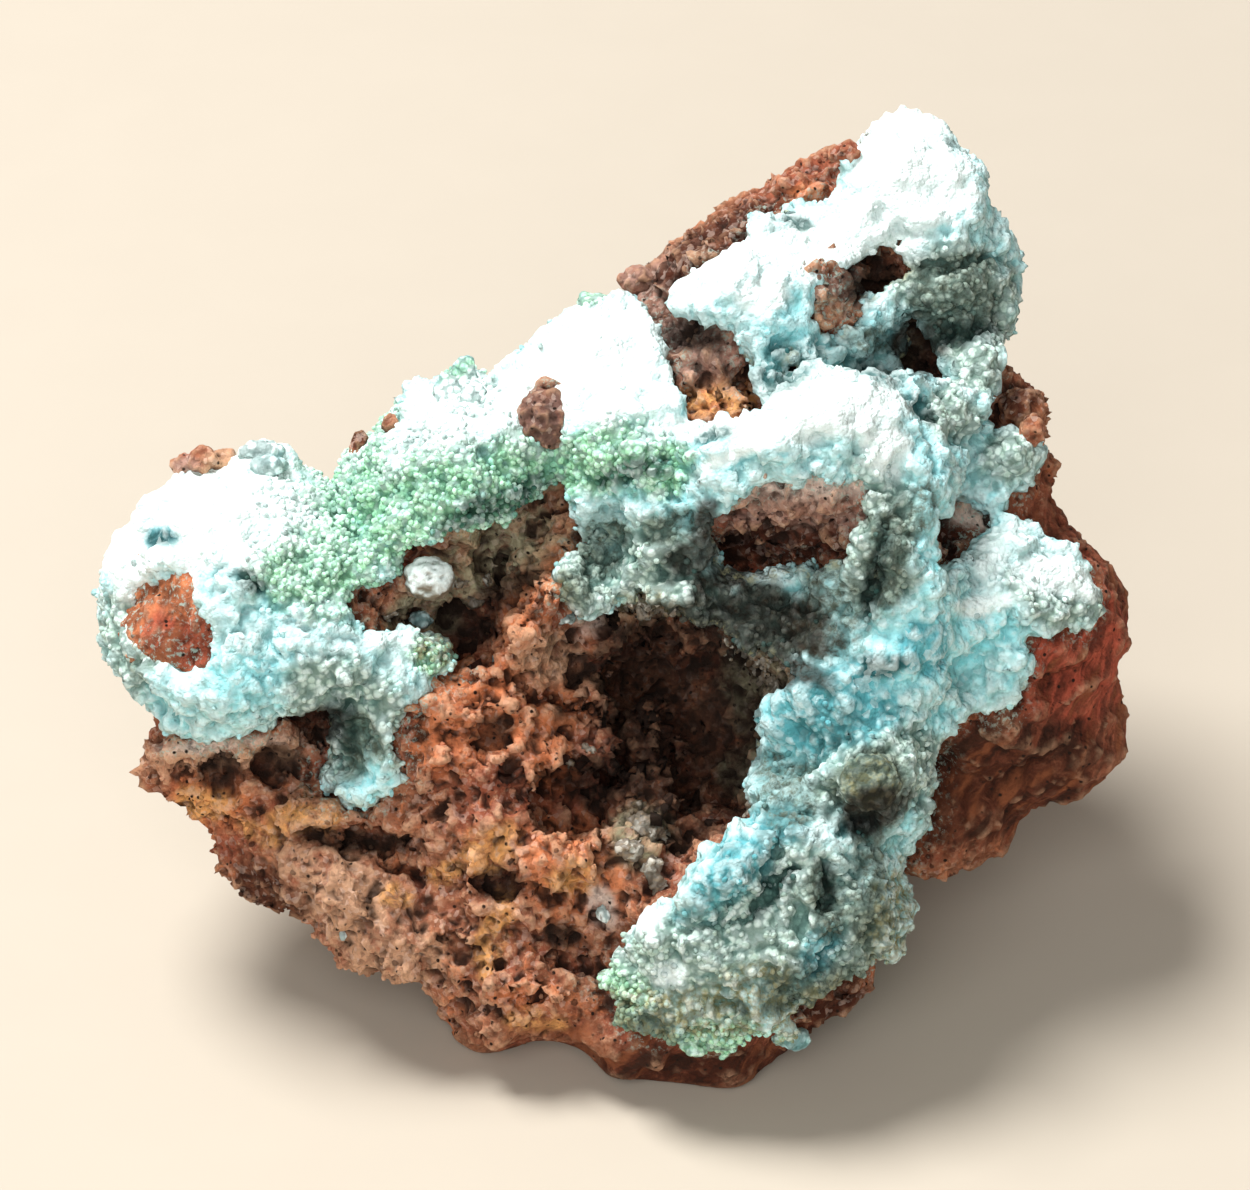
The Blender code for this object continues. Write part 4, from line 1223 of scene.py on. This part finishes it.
class SPECIMEN_OT_lumps(bpy.types.Operator):
    """Builds the single lumps that stand out of the crust and the rock"""

    bl_idname = "specimen.lumps"
    bl_label = "Single lumps"

    def execute(self, context):
        crust = bpy.data.objects["copper_crust_skin"].data
        rock = bpy.data.objects["rusty_rock"].data
        front = surface_tree(crust, rock)
        pale = self.lumps("pale_lumps", PALE_LUMPS, front)
        domes(pale, 0.8 * MM, 0.35 * MM)
        paint_zones(pale.data, CRUST_ZONES)
        mark_relief(pale)
        even = np.zeros(len(pale.data.vertices))
        # The pale lumps get no painted valley shade and no rims, and full painted shade in their
        # gaps.
        set_attributes(pale.data, valley=even, edge=even, gappy=even + 1)
        dress(pale, crust_material("lump_blue"))
        rusty = self.lumps("rusty_lumps", RUSTY_LUMPS, front)
        relief(rusty, "VORONOI", 1 * MM, 0.6 * MM, middle=0.6)
        paint_zones(rusty.data, ROCK_ZONES, ROCK_SEED)
        mark_relief(rusty)
        dress(rusty, rock_material("lump_rust"))
        knobs = self.lumps("vug_knobs", VUG_KNOBS, surface_tree(rock))
        crags(knobs, 0.8 * MM, 0.8 * MM, middle=0.5)
        domes(knobs, 0.55 * MM, 0.45 * MM)
        mark_relief(knobs)
        places = face_places(knobs.data)
        # Knobs in the shaded hollows get a darker tint, which is painted shade.
        shaded = zone_weights(places, ROCK_ZONES["dark"], 0)
        set_attributes(knobs.data, tint=0.6 + wobble(places, 1.3, 7) - 0.7 * shaded)
        dress(knobs, druse_material("knob_pale"))
        return {"FINISHED"}

    def lumps(self, name, table, tree):
        """Spheres at the table's places, seated on the surface and fused into one rough mesh."""
        bpy.ops.object.select_all(action="DESELECT")
        made = []
        for across, up, out, *half_sizes in table:
            bpy.ops.mesh.primitive_ico_sphere_add(subdivisions=3, radius=1)
            ball = bpy.context.active_object
            stretch = Matrix.Diagonal((*(size * MM for size in half_sizes), 1))
            place = self.seat(across, up, out, tree, LUMP_RISE * min(half_sizes) * MM)
            turned = face_matrix().to_3x3().to_4x4()
            ball.matrix_world = Matrix.Translation(place) @ turned @ stretch
            made.append(ball)
        for ball in made:
            ball.select_set(True)
        bpy.ops.object.join()
        bpy.ops.object.transform_apply(location=True, rotation=True, scale=True)
        piece = bpy.context.active_object
        piece.name = name
        remesh(piece, 0.18 * MM)
        clouds(piece, 0.9 * MM, 0.7 * MM)
        return piece

    def seat(self, across, up, out, tree, reach):
        """A place on the surface seen there, or else at most the reach from the nearest."""
        centre = on_face(across, up, out)
        towards = on_face(across, up, out - 1) - centre
        seen = tree.ray_cast(on_face(across, up, out + LOOK_FROM), towards)[0]
        if seen and (seen - centre).length < FARTHEST_SEAT:
            centre = seen
        nearest = tree.find_nearest(centre)[0]
        away = centre - nearest
        return nearest + away.normalized() * min(away.length, reach)


class SPECIMEN_OT_nodule(bpy.types.Operator):
    """Builds the pale nodule at the mouth of the smaller vug"""

    bl_idname = "specimen.nodule"
    bl_label = "Pale nodule"

    def execute(self, context):
        nodule = node_copy("pale_nodule", "pale_nodule_grain")
        remesh(nodule, 0.14 * MM)
        smooth(nodule, 4)
        domes(nodule, 0.8 * MM, 0.25 * MM)
        clouds(nodule, 0.9 * MM, 0.8 * MM)
        mark_relief(nodule, 0.1, 0.1)
        set_attributes(nodule.data, shaded=ramp(-normals(nodule.data)[:, 2], -0.45, 0.3))
        dress(nodule, nodule_material())
        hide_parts("pale_nodule")
        return {"FINISHED"}


class SPECIMEN_OT_stage(bpy.types.Operator):
    """Sets the floor, the lights and the camera"""

    bl_idname = "specimen.stage"
    bl_label = "Stage"

    def execute(self, context):
        bpy.ops.object.select_all(action="DESELECT")
        bpy.ops.mesh.primitive_plane_add(size=FLOOR_SIZE, location=FLOOR_PLACE)
        floor = context.active_object
        floor.name = "floor"
        floor.data.materials.append(floor_material())
        middle = Vector((0, 0, FACE_HEIGHT))
        for name, place, size, power in LIGHTS:
            self.add_light(name, place, middle, size, power)
        world = bpy.data.worlds.new("studio")
        world.use_nodes = True
        background = world.node_tree.nodes["Background"]
        background.inputs["Color"].default_value = SKY_TINT
        background.inputs["Strength"].default_value = SKY_STRENGTH
        context.scene.world = world
        context.scene.view_settings.view_transform = "Standard"
        self.add_camera(middle)
        return {"FINISHED"}

    def aim(self, thing, place, target):
        thing.location = place
        thing.rotation_mode = "QUATERNION"
        thing.rotation_quaternion = (target - Vector(place)).to_track_quat("-Z", "Y")

    def add_light(self, name, place, target, size, power):
        bpy.ops.object.light_add(type="AREA", location=place)
        light = bpy.context.active_object
        light.name = name
        light.data.shape = "DISK"
        light.data.size = size
        light.data.energy = power
        self.aim(light, place, target)

    def add_camera(self, middle):
        out = on_face(0, 0, 1) - on_face(0, 0, 0)
        place = middle + out.normalized() * VIEW_DISTANCE
        bpy.ops.object.camera_add(location=place)
        camera = bpy.context.active_object
        camera.name = "camera"
        self.aim(camera, place, middle)
        seen_width = PICTURE_WIDTH_PX / PIXELS_PER_MM * MM
        camera.data.sensor_width = SENSOR_MM
        camera.data.lens = SENSOR_MM * VIEW_DISTANCE / seen_width
        camera.data.clip_start = CLIP_START
        bpy.context.scene.camera = camera


class SPECIMEN_PT_panel(bpy.types.Panel):
    """Lists the specimen's pieces"""

    bl_idname = "SPECIMEN_PT_panel"
    bl_label = "Gossan specimen"
    bl_space_type = "VIEW_3D"
    bl_region_type = "UI"
    bl_category = "Specimen"

    def draw(self, context):
        for group in (context.scene.specimen_sizes, context.scene.specimen_colours):
            box = self.layout.box()
            for name in group.bl_rna.properties.keys():
                if name not in ("rna_type", "name"):
                    box.prop(group, name)
        for operator in OPERATORS:
            self.layout.operator(operator.bl_idname)


OPERATORS = (
    SPECIMEN_OT_rock,
    SPECIMEN_OT_crumbs,
    SPECIMEN_OT_crust,
    SPECIMEN_OT_grains,
    SPECIMEN_OT_lumps,
    SPECIMEN_OT_nodule,
    SPECIMEN_OT_stage,
)
CLASSES = (SpecimenSizes, SpecimenColours, *OPERATORS, SPECIMEN_PT_panel)


def register():
    for made in CLASSES:
        bpy.utils.register_class(made)
    bpy.types.Scene.specimen_sizes = bpy.props.PointerProperty(type=SpecimenSizes)
    bpy.types.Scene.specimen_colours = bpy.props.PointerProperty(type=SpecimenColours)


def unregister():
    del bpy.types.Scene.specimen_colours
    del bpy.types.Scene.specimen_sizes
    for made in reversed(CLASSES):
        bpy.utils.unregister_class(made)


def main():
    register()
    bpy.ops.specimen.rock()
    bpy.ops.specimen.crumbs()
    bpy.ops.specimen.crust()
    bpy.ops.specimen.grains()
    bpy.ops.specimen.lumps()
    bpy.ops.specimen.nodule()
    bpy.ops.specimen.stage()


if __name__ == "__main__":
    main()
